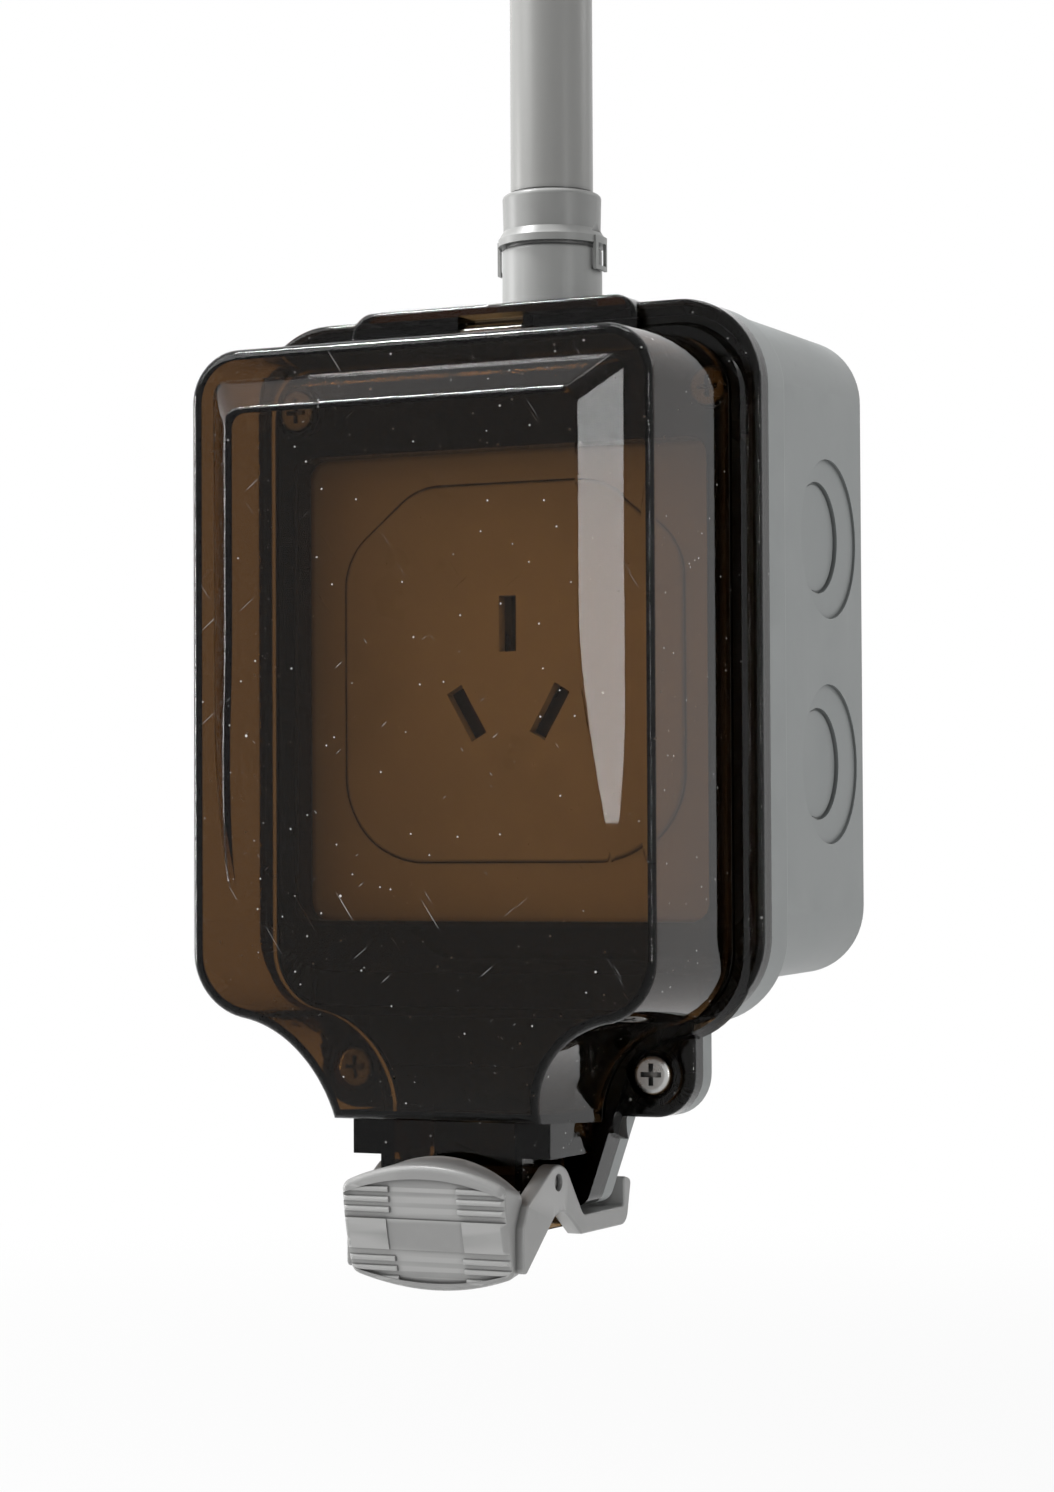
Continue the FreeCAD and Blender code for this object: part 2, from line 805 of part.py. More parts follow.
def cover_frame():
    """Smoked frame screwed to the box, with the plate window, hinge hood, ears and neck."""
    plate = base_prism(frame_back, frame_face)
    plate = softened(plate, edges_at_depth(plate, frame_face), frame_edge_r)
    solid = joined([plate, neck_block(), hinge_hump()] + both_sides(ear_pad()))
    window = plate_outline(window_half_width, -window_half_height, window_half_height,
                           window_corner_r, window_corner_r)
    solid = solid.cut(prism(window, frame_back - 1, step_face + 1))
    for x in (-ear_screw_x, ear_screw_x):
        rim_ring = rod(screw_rim_r, x, ear_screw_z, frame_face - 1, frame_face + screw_rim_height)
        solid = solid.fuse(rim_ring)
        solid = solid.cut(rod(screw_seat_r, x, ear_screw_z, ear_screw_seat(), step_face + 1))
        solid = solid.cut(rod(screw_r + hole_gap, x, ear_screw_z, frame_back - 1, step_face + 1))
    for x in (-top_screw_x, top_screw_x):
        solid = solid.cut(rod(screw_seat_r, x, top_screw_z, top_screw_seat(), step_face + 1))
        solid = solid.cut(rod(screw_r + hole_gap, x, top_screw_z, frame_back - 1, step_face + 1))
    solid = solid.cut(hinge_pocket())
    groove = hinge_pin_length / 2.0 + groove_gap
    solid = solid.cut(cross_rod(hinge_pin_r + groove_gap, hinge_depth, hinge_z, -groove, groove))
    pin_width = hinge_pin_r + groove_gap
    pin_way = block(-groove, groove, frame_back - 1, hinge_depth, hinge_z - pin_width, hinge_z + pin_width)
    solid = solid.cut(pin_way)
    solid = solid.cut(seal_ring(seal_foot, step_face + 1, groove_gap))
    return solid.removeSplitter()


def ear_pad():
    """Raised inner field of an ear, which runs up under the flange."""
    x0 = neck_top_half_width
    x1 = ear_half_width - ear_pad_inset
    low = ear_bottom + ear_pad_inset
    corner = ear_corner_r - ear_pad_inset
    outline = rounded([(x0, low), (x1, low), (x1, flange_bottom), (x0, flange_bottom)], [0, corner, 0, 0])
    return prism(outline, frame_face - 1, frame_face + ear_pad_height)


def ear_screw_seat():
    """Depth of the face that an ear screw's head bears on."""
    return frame_face - screw_seat_depth


def top_screw_seat():
    """Depth of the face that a top screw's head bears on."""
    return step_face - screw_head_height - screw_head_sink


def hinge_pocket():
    """Slot in the hood for the knuckle and its arm at every angle, open to the front and roofed over."""
    half = knuckle_width / 2.0 + knuckle_gap
    return block(-half, half, frame_back - 1, hump_front + 1, hood_low - knuckle_gap / 2.0, hinge_slot_top)


def gasket_path(inset):
    """Outline of the box seal at a distance inside the flange."""
    return plate_outline(flange_half_width - inset, flange_bottom + inset, flange_top - inset,
                         flange_corner_r - inset, flange_corner_r - inset)


def gasket_ring(depth_b, grow=0.0):
    """Seal ring in the flange's groove, pressed flush by the frame."""
    foot = box_depth - gasket_height
    outer = prism(gasket_path(gasket_inset - grow), foot, depth_b)
    inner = prism(gasket_path(gasket_inset + gasket_width + grow), foot - 1, depth_b + 1)
    return outer.cut(inner)


def seal_ring(depth_a, depth_b, grow=0.0):
    """Ring under the lid's rear edge."""
    middle = lid_draft - lid_wall / 2.0
    outer = prism(lid_outline(middle + seal_width / 2.0 + grow), depth_a, depth_b)
    inner = prism(lid_outline(middle - seal_width / 2.0 - grow), depth_a - 1, depth_b + 1)
    return outer.cut(inner)


def box_shell():
    """Drafted box with its flange, ears and neck, hollow from the front."""
    back = plate_outline(box_back_half_width, box_bottom, box_top, box_corner_r, box_corner_r)
    front_r = box_corner_r + box_draft
    front = plate_outline(box_half_width, box_bottom - box_draft, box_top, front_r, front_r)
    outer = ruled(back, 0, front, flange_back + 1)
    outer = softened(outer, edges_at_depth(outer, 0), box_back_edge_r)
    flange = prism(base_plan()[0], flange_back, box_depth)
    flange = softened(flange, edges_at_depth(flange, flange_back), flange_edge_r)
    apron = joined([prism(wire, neck_back, box_depth) for wire in base_plan()[1:]])
    solid = joined([outer, flange, apron])
    inner_back = plate_outline(box_back_half_width - box_wall, box_bottom + box_wall, box_top - box_wall,
                               box_corner_r - box_wall, box_corner_r - box_wall)
    inner_front = plate_outline(box_half_width - box_wall, box_bottom - box_draft + box_wall,
                                box_top - box_wall, front_r - box_wall, front_r - box_wall)
    return solid.cut(ruled(inner_back, box_back_wall, inner_front, box_depth + 1))


def back_box():
    """Grey wall box."""
    solid = box_shell()
    for x in (-carrier_screw_x, carrier_screw_x):
        boss = rod(carrier_boss_r, x, 0, 1, carrier_plate_back)
        rib = block(x - screw_rib_width / 2.0, x + screw_rib_width / 2.0,
                    1, carrier_plate_back - screw_rib_set_back,
                    -screw_rib_height / 2.0, screw_rib_height / 2.0)
        solid = joined([solid, boss, rib])
        pilot_foot = carrier_plate_back - screw_length
        solid = solid.cut(rod(carrier_screw_r - pilot_gap, x, 0, pilot_foot, box_depth))
    for x in (-top_screw_x, top_screw_x):
        boss = rod(ear_boss_r, x, top_screw_z, 1, box_depth)
        solid = solid.fuse(boss)
        pilot_foot = box_depth - screw_length
        solid = solid.cut(rod(screw_r - pilot_gap, x, top_screw_z, pilot_foot, box_depth + 1))
    for x in (-ear_screw_x, ear_screw_x):
        boss_foot = box_depth - ear_boss_length
        solid = solid.fuse(rod(ear_boss_r, x, ear_screw_z, boss_foot, box_depth))
        solid = solid.cut(rod(screw_r - pilot_gap, x, ear_screw_z, boss_foot - 1, box_depth + 1))
    for x in (-wall_hole_spacing_x / 2, wall_hole_spacing_x / 2):
        for z in (-wall_hole_spacing_z / 2, wall_hole_spacing_z / 2):
            solid = solid.fuse(rod(wall_boss_r, x, z, 1, box_back_wall + wall_boss_height))
            solid = solid.cut(rod(wall_hole_r, x, z, -1, box_back_wall + wall_boss_height + 1))
    rib = block(-catch_rib_half_width, catch_rib_half_width, catch_face, neck_back + 1,
                neck_bottom, neck_bottom + catch_rib_height)
    solid = solid.fuse(rib)
    entry = post(adaptor_thread_r + thread_gap, conduit_depth, box_top - 2 * box_wall, box_top + 1)
    solid = solid.cut(entry)
    solid = solid.cut(gasket_ring(box_depth + 1, groove_gap))
    for knockout in knockouts():
        solid = solid.cut(knockout)
    return solid.removeSplitter()


def knockouts():
    """Stepped round recesses in the box's side walls, a small one inside a large one, as cutters."""
    cutters = []
    wall_x = box_back_half_width + knockout_depth * box_draft / flange_back
    far = box_half_width + 1
    inner_depth = knockout_depth + knockout_shift
    inner_floor = wall_x - knockout_inner_recess
    for z in knockout_heights:
        outer = cross_rod(knockout_outer_r, knockout_depth, z, wall_x - knockout_outer_recess, far)
        inner = cross_rod(knockout_inner_r, inner_depth, z, inner_floor, far)
        groove = cross_rod(knockout_inner_r, inner_depth, z, inner_floor - knockout_groove_depth, far)
        groove = groove.cut(cross_rod(knockout_inner_r - knockout_groove_width, inner_depth, z, 0, far + 1))
        cutters += both_sides(outer.fuse(inner).fuse(groove))
    return cutters


def box_gasket():
    """Seal between box and frame."""
    return gasket_ring(box_depth)


def lid_seal():
    """Seal that the lid's rear edge closes on."""
    return seal_ring(seal_foot, seal_face)


def screw(x, z, head_seat, length):
    """Pan head screw along Y with a cross recess."""
    shank = rod(screw_r - pilot_gap, x, z, head_seat - length, head_seat)
    head = rod(screw_head_r, x, z, head_seat, head_seat + screw_head_height)
    top = head_seat + screw_head_height
    head = softened(head, edges_at_depth(head, top), screw_head_round)
    solid = shank.fuse(head)
    half = screw_recess_width / 2.0
    for across, up in ((screw_recess_reach, half), (half, screw_recess_reach)):
        solid = solid.cut(block(x - across, x + across, top - screw_recess, top + 1, z - up, z + up))
    return solid


def ear_screws():
    """Screws through the frame's ears."""
    length = ear_screw_seat() - frame_back + screw_bite
    return [screw(x, ear_screw_z, ear_screw_seat(), length) for x in (-ear_screw_x, ear_screw_x)]


def top_screws():
    """Screws through the frame behind the lid."""
    return [screw(x, top_screw_z, top_screw_seat(), screw_length) for x in (-top_screw_x, top_screw_x)]


def hinge_pin():
    """Steel hinge pin."""
    half = hinge_pin_length / 2.0
    return cross_rod(hinge_pin_r, hinge_depth, hinge_z, -half, half)


def latch_pins():
    """Short pins through the latch's ears into the carrier."""
    start = passage_half_width + running_gap
    end = arm_outer - latch_pin_sink
    return both_sides(cross_rod(latch_pin_r, latch_pivot_depth, latch_pivot_z, start, end))


def side_wire(points, radii):
    """Closed wire in the YZ plane through (depth, z) corners, each rounded by its radius."""
    wire = rounded(points, radii)
    wire.rotate(V(0, 0, 0), V(0, 0, 1), -90)
    return wire


def across(wire, x0, x1):
    """Solid between two places along X from a wire in the YZ plane."""
    placed = wire.copy()
    placed.translate(V(x0, 0, 0))
    return Part.Face(placed).extrude(V(x1 - x0, 0, 0))


def hook_corners():
    """Corners and radii of the hook, from the tray's top round to its underside."""
    hook_outer = hook_inner - hook_thickness
    corners = [(hook_inner, tray_top), (hook_inner, hook_top), (hook_outer, hook_top - hook_lead),
               (hook_outer + hook_rake, tray_bottom)]
    return corners, [arm_corner_r, hook_tip_r, arm_corner_r, hook_heel_r]


def latch_arm_solid():
    """One arm: end behind the pad, notch, pivot ear, tray side, hook, and the arch below the ear."""
    arm_end = pad_back + arm_end_reach
    corners, radii = hook_corners()
    points = [(arm_end, latch_pivot_z - arm_shoulder_drop),
              (pad_back + notch_reach, latch_pivot_z - notch_drop),
              (latch_pivot_depth - ear_apex_back, latch_pivot_z + ear_apex_rise),
              (lid_back - tray_start, tray_top)]
    points += corners
    points += [(lid_back, tray_bottom), (latch_pivot_depth - arm_arch_back, latch_pivot_z - arm_arch_drop),
               (arm_end, latch_pivot_z - arm_foot_drop)]
    radii = [arm_shoulder_r, arm_corner_r, latch_ear_r, tray_root_r] + radii
    radii += [arm_corner_r, arm_arch_r, arm_corner_r]
    arm = across(side_wire(points, radii), arm_inner, arm_outer)
    rim = [e for e in arm.Edges if e.BoundBox.XMin > arm_outer - same_place]
    return softened(arm, rim, latch_edge_r)


def latch_channel():
    """Tray and hook between the arms, hollow below."""
    corners, radii = hook_corners()
    tray_end = lid_back - tray_start - tray_clear
    points = [(tray_end, tray_top)] + corners + [(tray_end, tray_bottom)]
    reach = arm_inner + latch_arm / 2.0
    solid = across(side_wire(points, [0] + radii + [0]), -reach, reach)
    return solid.cut(block(-arm_inner, arm_inner, hook_inner + tray_skin, tray_end + 1,
                           tray_bottom - 1, tray_top - tray_skin))


def pad_outline(top, top_arch, bottom, bottom_arch):
    """Outline of the pad at one depth, with arched top and bottom."""
    half = pad_half_width
    low = Part.Arc(V(-half, 0, bottom + bottom_arch), V(0, 0, bottom), V(half, 0, bottom + bottom_arch))
    high = Part.Arc(V(half, 0, top - top_arch), V(0, 0, top), V(-half, 0, top - top_arch))
    right = Part.makeLine(V(half, 0, bottom + bottom_arch), V(half, 0, top - top_arch))
    left = Part.makeLine(V(-half, 0, top - top_arch), V(-half, 0, bottom + bottom_arch))
    return Part.Wire([low.toShape(), right, high.toShape(), left])


def pad_roll(inset):
    """Bar along X whose surface is the pad's curved front, or lies inside it."""
    reach = pad_half_width + 1
    return cross_rod(pad_front_r - inset, pad_front - pad_front_r, pad_crown_z, -reach, reach)


def pad_roll_depth(z, inset):
    """Depth of the pad's curved front at one height."""
    return pad_front - pad_front_r + math.sqrt((pad_front_r - inset) ** 2 - (z - pad_crown_z) ** 2)


def on_pad_front(edge):
    """Whether an edge lies on the pad's curved front."""
    places = [edge.valueAt(edge.FirstParameter), edge.CenterOfMass, edge.valueAt(edge.LastParameter)]
    return all(abs(-p.y - pad_roll_depth(p.z, 0)) < same_place for p in places)


def pad_blank():
    """Pad without its relief: arched, rounded and curved back towards its foot."""
    back = pad_outline(pad_top, pad_arch_back, pad_bottom + pad_foot_lift, pad_foot_back)
    front = pad_outline(pad_top - pad_front_drop, pad_arch_front, pad_bottom, pad_foot_front)
    pad = ruled(back, pad_back, front, pad_front)
    corners = [e for e in pad.Edges if e.BoundBox.YLength > pad_thickness - same_place]
    pad = softened(pad, corners, pad_corner_r).common(pad_roll(0))
    return softened(pad, [e for e in pad.Edges if on_pad_front(e)], pad_edge_r)


def latch_pad():
    """Pad with a rim above and below, a raised bare band and corner groups of grip ridges."""
    blank = pad_blank()
    field = pad_outline(pad_top - pad_front_drop - pad_rim, pad_arch_front,
                        pad_bottom + pad_foot_lift + pad_rim / 2.0, pad_foot_front)
    relief = prism(field, pad_back, pad_front + 1).cut(pad_roll(pad_relief))
    reach = pad_half_width + 1
    band = block(-reach, reach, pad_back, pad_front + 2, pad_band_bottom, pad_band_top)
    pad = blank.cut(relief.cut(band))
    inner_band = block(-pad_band_recess_half_width, pad_band_recess_half_width, pad_back, pad_front + 1,
                       pad_band_bottom, pad_band_top)
    pad = pad.cut(inner_band.cut(pad_roll(pad_band_recess)))
    for level in range(ridge_count):
        offset = ridge_start + ridge_pitch * level
        for z in (pad_band_top + offset, pad_band_bottom - offset):
            ridge = cross_rod(ridge_r, pad_roll_depth(z, pad_relief), z,
                              pad_half_width - ridge_length, pad_half_width)
            for side in both_sides(ridge):
                pad = pad.fuse(side.common(blank))
    return pad


def latch():
    """Grey rocker latch."""
    body = joined(both_sides(latch_arm_solid()) + [latch_channel()])
    solid = body.fuse(latch_pad())
    reach = arm_outer + 1
    return solid.cut(cross_rod(latch_pin_r + running_gap, latch_pivot_depth, latch_pivot_z, -reach, reach))


def cable_seal():
    """Rubber block in the frame's neck with a slot for the plug's cable, open to the front."""
    half = passage_half_width - cable_seal_gap
    solid = block(-half, half, step_face, carrier_front - carrier_wall - cable_seal_gap,
                  carrier_bottom + cable_seal_foot, cable_seal_top)
    middle = (step_face + carrier_front) / 2.0
    height = lid_bottom - carrier_bottom
    foot = post(cable_slot_half_width, middle, carrier_bottom, carrier_bottom + height)
    way_in = block(-cable_slot_half_width, cable_slot_half_width, middle, carrier_front,
                   carrier_bottom, carrier_bottom + height)
    return solid.cut(foot).cut(way_in)


def slot_cutter(x, z, tilt, grow, depth_a, depth_b):
    """Cutter for one pin slot, turned about its own centre."""
    half_w = slot_width / 2.0 + grow
    half_l = slot_length / 2.0 + grow
    cutter = block(-half_w, half_w, depth_a, depth_b, -half_l, half_l)
    cutter.rotate(V(0, 0, 0), V(0, 1, 0), tilt)
    cutter.translate(V(x, 0, z))
    return cutter


def slot_places():
    """Place and tilt of the earth, line and neutral slots."""
    return ((0.0, earth_slot_z, 0.0),
            (-live_slot_x, live_slot_z, -slot_tilt),
            (live_slot_x, live_slot_z, slot_tilt))


def insert_outline(shrink):
    """Outline of the socket insert: arched top, flat bottom with large corners."""
    half = insert_half_width - shrink
    top = insert_top - shrink
    low = insert_bottom + shrink
    low_r = insert_low_r - shrink
    shoulder = insert_shoulder_z
    crown = half * insert_crown
    points = [(-half, low), (half, low), (half, shoulder), (crown, top), (-crown, top), (-half, shoulder)]
    return rounded(points, [low_r, low_r] + 4 * [insert_shoulder_r])


def socket_plate():
    """86 mm front plate with a skirt."""
    outer = prism(plate_outline(plate_half, -plate_half, plate_half, plate_corner_r, plate_corner_r),
                  plate_front - plate_skirt, plate_front)
    outer = softened(outer, edges_at_depth(outer, plate_front), plate_edge_r)
    inner_half = plate_half - plate_wall
    hollow = prism(plate_outline(inner_half, -inner_half, inner_half, plate_inner_r, plate_inner_r),
                   plate_front - plate_skirt - 1, plate_front - plate_wall)
    return outer.cut(hollow).cut(prism(insert_outline(0), 0, plate_front + 1))


def socket_insert():
    """Insert with the three pin slots and a skirt that stands on the carrier plate."""
    foot = carrier_plate_front
    outer = prism(insert_outline(insert_gap), foot, insert_front)
    outer = softened(outer, edges_at_depth(outer, insert_front), insert_edge_r)
    hollow = prism(insert_outline(insert_gap + insert_skirt), foot - 1, insert_front - insert_wall)
    solid = outer.cut(hollow)
    for x, z, tilt in slot_places():
        solid = solid.cut(slot_cutter(x, z, tilt, 0, foot, insert_front + 1))
    head_room = foot + carrier_head_height + hole_gap
    for x in (-carrier_screw_x, carrier_screw_x):
        solid = solid.cut(rod(carrier_head_r + hole_gap, x, 0, foot - 1, head_room))
    return solid


def carrier_plate():
    """Plate that carries the socket and is screwed to the box bosses."""
    half = carrier_plate_half
    front = carrier_plate_front
    solid = prism(plate_outline(half, -half, half, carrier_plate_corner_r, carrier_plate_corner_r),
                  carrier_plate_back, front)
    for x, z, tilt in slot_places():
        solid = solid.cut(slot_cutter(x, z, tilt, pin_window_gap, 0, front + 1))
    for x in (-carrier_screw_x, carrier_screw_x):
        solid = solid.cut(rod(carrier_screw_r + hole_gap, x, 0, 0, front + 1))
    for z in base_screw_heights():
        solid = solid.cut(rod(base_screw_r - pilot_gap, 0, z, 0, front + 1))
    rail_x = shutter_half_width + rail_gap
    inside = front - carrier_plate_thickness / 2.0
    rail = block(rail_x, rail_x + rail_width, inside, shutter_back + shutter_thickness,
                 shutter_bottom - shutter_travel - rail_spare, shutter_top)
    foot_half = spring_r + spring_foot_side
    foot = block(-foot_half, foot_half, inside, spring_depth + spring_r,
                 spring_foot_z - spring_seat, spring_foot_z)
    return joined([solid] + both_sides(rail) + [foot])


def carrier_screws():
    """Screws at the 60.3 mm spacing of a flush box."""
    seat = carrier_plate_front
    half = slot_head_width / 2.0
    solids = []
    for x in (-carrier_screw_x, carrier_screw_x):
        shank = rod(carrier_screw_r - pilot_gap * 2, x, 0, seat - screw_length, seat)
        head = rod(carrier_head_r, x, 0, seat, seat + carrier_head_height)
        cut = block(x - carrier_head_r, x + carrier_head_r, seat + carrier_head_height / 2.0,
                    seat + carrier_head_height + 1, -half, half)
        solids.append(shank.fuse(head).cut(cut))
    return solids


def base_screw_heights():
    """Heights of the two screws that hold the base."""
    return (base_top + base_lug_offset, base_bottom - base_lug_offset)


def socket_base():
    """Rear housing of the socket's contacts."""
    front = carrier_plate_back
    outer = prism(plate_outline(base_half_width, base_bottom, base_top, base_corner_r, base_corner_r),
                  front - base_depth, front)
    hollow = prism(plate_outline(base_half_width - base_wall, base_bottom + base_wall, base_top - base_wall,
                                 base_inner_r, base_inner_r), contact_floor, front + 1)
    solid = outer.cut(hollow)
    for z in base_screw_heights():
        lug = rod(base_lug_r, 0, z, front - base_lug_thickness, front)
        web = block(-base_lug_r, base_lug_r, front - base_lug_thickness, front, min(z, 0), max(z, 0))
        web = web.cut(hollow)
        solid = joined([solid, lug.cut(hollow), web])
        solid = solid.cut(rod(base_screw_r + hole_gap, 0, z, 0, front + 1))
    for x, z in terminal_places():
        solid = solid.cut(rod(terminal_head_r + hole_gap, x, z, 0, contact_floor + 1))
        away = -wire_hole_offset if x < 0 else wire_hole_offset
        solid = solid.cut(rod(wire_hole_r, x + away, z, 0, contact_floor + 1))
    return solid


def base_screws():
    """Screws that hold the base to the carrier plate."""
    solids = []
    seat = carrier_plate_back - base_lug_thickness
    half = slot_head_width / 2.0
    for z in base_screw_heights():
        shank = rod(base_screw_r - pilot_gap * 2, 0, z, seat, carrier_plate_front)
        head = rod(base_head_r, 0, z, seat - base_head_height, seat)
        cut = block(-base_head_r, base_head_r, seat - base_head_height - 1, seat - base_head_height / 2.0,
                    z - half, z + half)
        solids.append(shank.fuse(head).cut(cut))
    return solids


def terminal_places():
    """Centres of the earth, line and neutral terminals."""
    side = live_slot_x + terminal_spread
    low = live_slot_z - terminal_drop
    return ((0.0, earth_slot_z + terminal_rise), (-side, low), (side, low))


def contact(slot, terminal):
    """Brass clip behind one slot, with its foot, link and terminal block."""
    x, z, tilt = slot
    tx, tz = terminal
    floor = contact_floor
    half_gap = leaf_gap / 2.0
    half_w = leaf_width / 2.0
    outside = half_gap + leaf_thickness
    clip = joined([block(half_gap, outside, floor, floor + leaf_length, -half_w, half_w),
                   block(-outside, -half_gap, floor, floor + leaf_length, -half_w, half_w),
                   block(-outside, outside, floor, floor + contact_foot, -half_w, half_w)])
    clip.rotate(V(0, 0, 0), V(0, 1, 0), tilt)
    clip.translate(V(x, 0, z))
    half = terminal_size / 2.0
    terminal_block = block(tx - half, tx + half, floor, floor + terminal_height, tz - half, tz + half)
    link = block(min(x, tx) - contact_link_half_width, max(x, tx) + contact_link_half_width,
                 floor, floor + contact_foot, min(z, tz), max(z, tz))
    solid = joined([clip, link, terminal_block])
    solid = solid.cut(rod(terminal_screw_r + pilot_gap, tx, tz, floor - 1, floor + terminal_height + 1))
    return solid


def terminal_screws():
    """Screws in the three terminal blocks, driven from behind."""
    half = slot_head_width / 2.0
    back = contact_floor - terminal_head_height
    tip = contact_floor + terminal_height - contact_foot
    solids = []
    for x, z in terminal_places():
        shank = rod(terminal_screw_r - pilot_gap, x, z, contact_floor, tip)
        head = rod(terminal_head_r, x, z, back, contact_floor)
        cut = block(x - terminal_head_r, x + terminal_head_r, back - 1, back + terminal_head_height / 2.0,
                    z - half, z + half)
        solids.append(shank.fuse(head).cut(cut))
    return solids


def shutter():
    """Sliding plate behind the live slots, with windows that line up when it is pushed down."""
    front = shutter_back + shutter_thickness
    solid = block(-shutter_half_width, shutter_half_width, shutter_back, front, shutter_bottom, shutter_top)
    solid = solid.cut(block(-shutter_notch_half_width, shutter_notch_half_width, shutter_back - 1, front + 1,
                            shutter_notch_z, shutter_top + 1))
    for x, z, tilt in slot_places()[1:]:
        solid = solid.cut(slot_cutter(x, z + shutter_travel, tilt, 0, 0, front + 1))
    return solid


def shutter_spring():
    """Compression spring under the shutter."""
    height = shutter_bottom - spring_foot_z - 2 * spring_wire_r
    pitch = height / spring_turns
    helix = Part.makeHelix(pitch, height, spring_r - spring_wire_r)
    section = Part.Wire([Part.makeCircle(spring_wire_r, V(spring_r - spring_wire_r, 0, 0), V(0, 1, 0))])
    coil = helix.makePipeShell([section], True, True)
    coil.translate(at(0, spring_depth, spring_foot_z + spring_wire_r))
    return coil


def conduit():
    """Conduit pipe, cut square at its upper end and squeezed a little where the fitting grips it."""
    seated = post(conduit_seat_r, conduit_depth, conduit_start, conduit_end)
    pipe = seated.fuse(post(conduit_r, conduit_depth, nut_top + nut_gap, conduit_end)).removeSplitter()
    return pipe.cut(post(conduit_bore_r, conduit_depth, conduit_start - 1, conduit_end + 1))


def conduit_adaptor():
    """Adaptor that stands on the box and takes the pipe, with a threaded tail inside the box."""
    low = box_top + ring_thickness
    tail = post(adaptor_thread_r, conduit_depth, box_top - box_wall - locknut_thickness - thread_spare, low)
    collar = post(adaptor_collar_r, conduit_depth, low, adaptor_collar_top)
    collar = softened(collar, edges_at_height(collar, adaptor_collar_top), adaptor_edge_r)
    neck = post(adaptor_neck_r, conduit_depth, adaptor_collar_top, adaptor_top)
    solid = joined([tail, collar, neck])
    solid = solid.cut(post(conduit_bore_r, conduit_depth, 0, adaptor_top + 1))
    return solid.cut(post(conduit_seat_r + conduit_gap, conduit_depth, conduit_start, adaptor_top + 1))


def nut_profile():
    """Half section of the union nut: rounded top, slim waist and a flared lower lip."""
    def point(r, z):
        return V(r, 0, z)

    inner = conduit_seat_r + conduit_gap
    lip_top = nut_bottom + nut_lip_height
    ease_top = lip_top + nut_lip_ease
    lip_mid_r = (nut_lip_r + nut_waist_r) / 2.0
    ease = Part.BSplineCurve()
    ease.interpolate([point(nut_lip_r, lip_top), point(lip_mid_r, (lip_top + ease_top) / 2.0),
                      point(nut_waist_r, ease_top)])
    shoulder = math.sqrt(0.5) * nut_round
    crown = Part.Arc(point(nut_r, nut_top - nut_round),
                     point(nut_r - nut_round + shoulder, nut_top - nut_round + shoulder),
                     point(nut_r - nut_round, nut_top))
    edges = [Part.makeLine(point(inner, nut_bottom), point(nut_lip_r, nut_bottom)),
             Part.makeLine(point(nut_lip_r, nut_bottom), point(nut_lip_r, lip_top)),
             ease.toShape(),
             Part.makeLine(point(nut_waist_r, ease_top), point(nut_r, nut_top - nut_round)),
             crown.toShape(),
             Part.makeLine(point(nut_r - nut_round, nut_top), point(inner, nut_top)),
             Part.makeLine(point(inner, nut_top), point(inner, nut_bottom))]
    return Part.Wire(edges)


def dimple():
    """Cutter for the scooped finger grip on the nut's right side, narrow at the top."""
    low = nut_bottom + dimple_low
    high = nut_bottom + dimple_high
    start = V(nut_r + dimple_r - dimple_depth, 0, low)
    return Part.makeCone(dimple_r, dimple_r - 3 * dimple_depth, high - low, start, V(0, 0, 1))


def eyelet():
    """Thin loop that hangs from the nut's lip on the right side."""
    top = nut_bottom + nut_lip_height
    low = nut_bottom - eyelet_drop
    band = post(eyelet_r, 0, low, top).cut(post(eyelet_r - eyelet_thickness, 0, low - 1, top + 1))
    strip = block(eyelet_r / 2.0, eyelet_r, -eyelet_half_width, eyelet_half_width, low, top)
    window_half = eyelet_half_width - eyelet_frame
    window = block(eyelet_r / 2.0, eyelet_r, -window_half, window_half, low + eyelet_frame, nut_bottom)
    return band.common(strip).cut(window)


def conduit_nut():
    """Union nut with two finger grips and the loops of its retaining ring."""
    solid = Part.Face(nut_profile()).revolve(V(0, 0, 0), V(0, 0, 1), 360)
    for cutter in both_sides(dimple()):
        solid = solid.cut(cutter)
    solid = joined([solid] + both_sides(eyelet()))
    solid = solid.cut(post(adaptor_neck_r + thread_gap, 0, 0, adaptor_top + nut_gap))
    solid.translate(at(0, conduit_depth, 0))
    return solid


def conduit_locknut():
    """Hexagonal locknut inside the box."""
    top = box_top - box_wall
    corners = []
    for turn in range(7):
        angle = turn * math.pi / 3
        corners.append(V(locknut_r * math.cos(angle), locknut_r * math.sin(angle), 0))
    face = Part.Face(Part.makePolygon(corners))
    nut = face.extrude(V(0, 0, locknut_thickness))
    nut.translate(at(0, conduit_depth, top - locknut_thickness))
    return nut.cut(post(adaptor_thread_r + thread_gap, conduit_depth, 0, top + 1))


def conduit_ring():
    """Sealing ring between adaptor and box."""
    ring = post(ring_r, conduit_depth, box_top, box_top + ring_thickness)
    return ring.cut(post(adaptor_thread_r + thread_gap, conduit_depth, box_top - 1, adaptor_top))


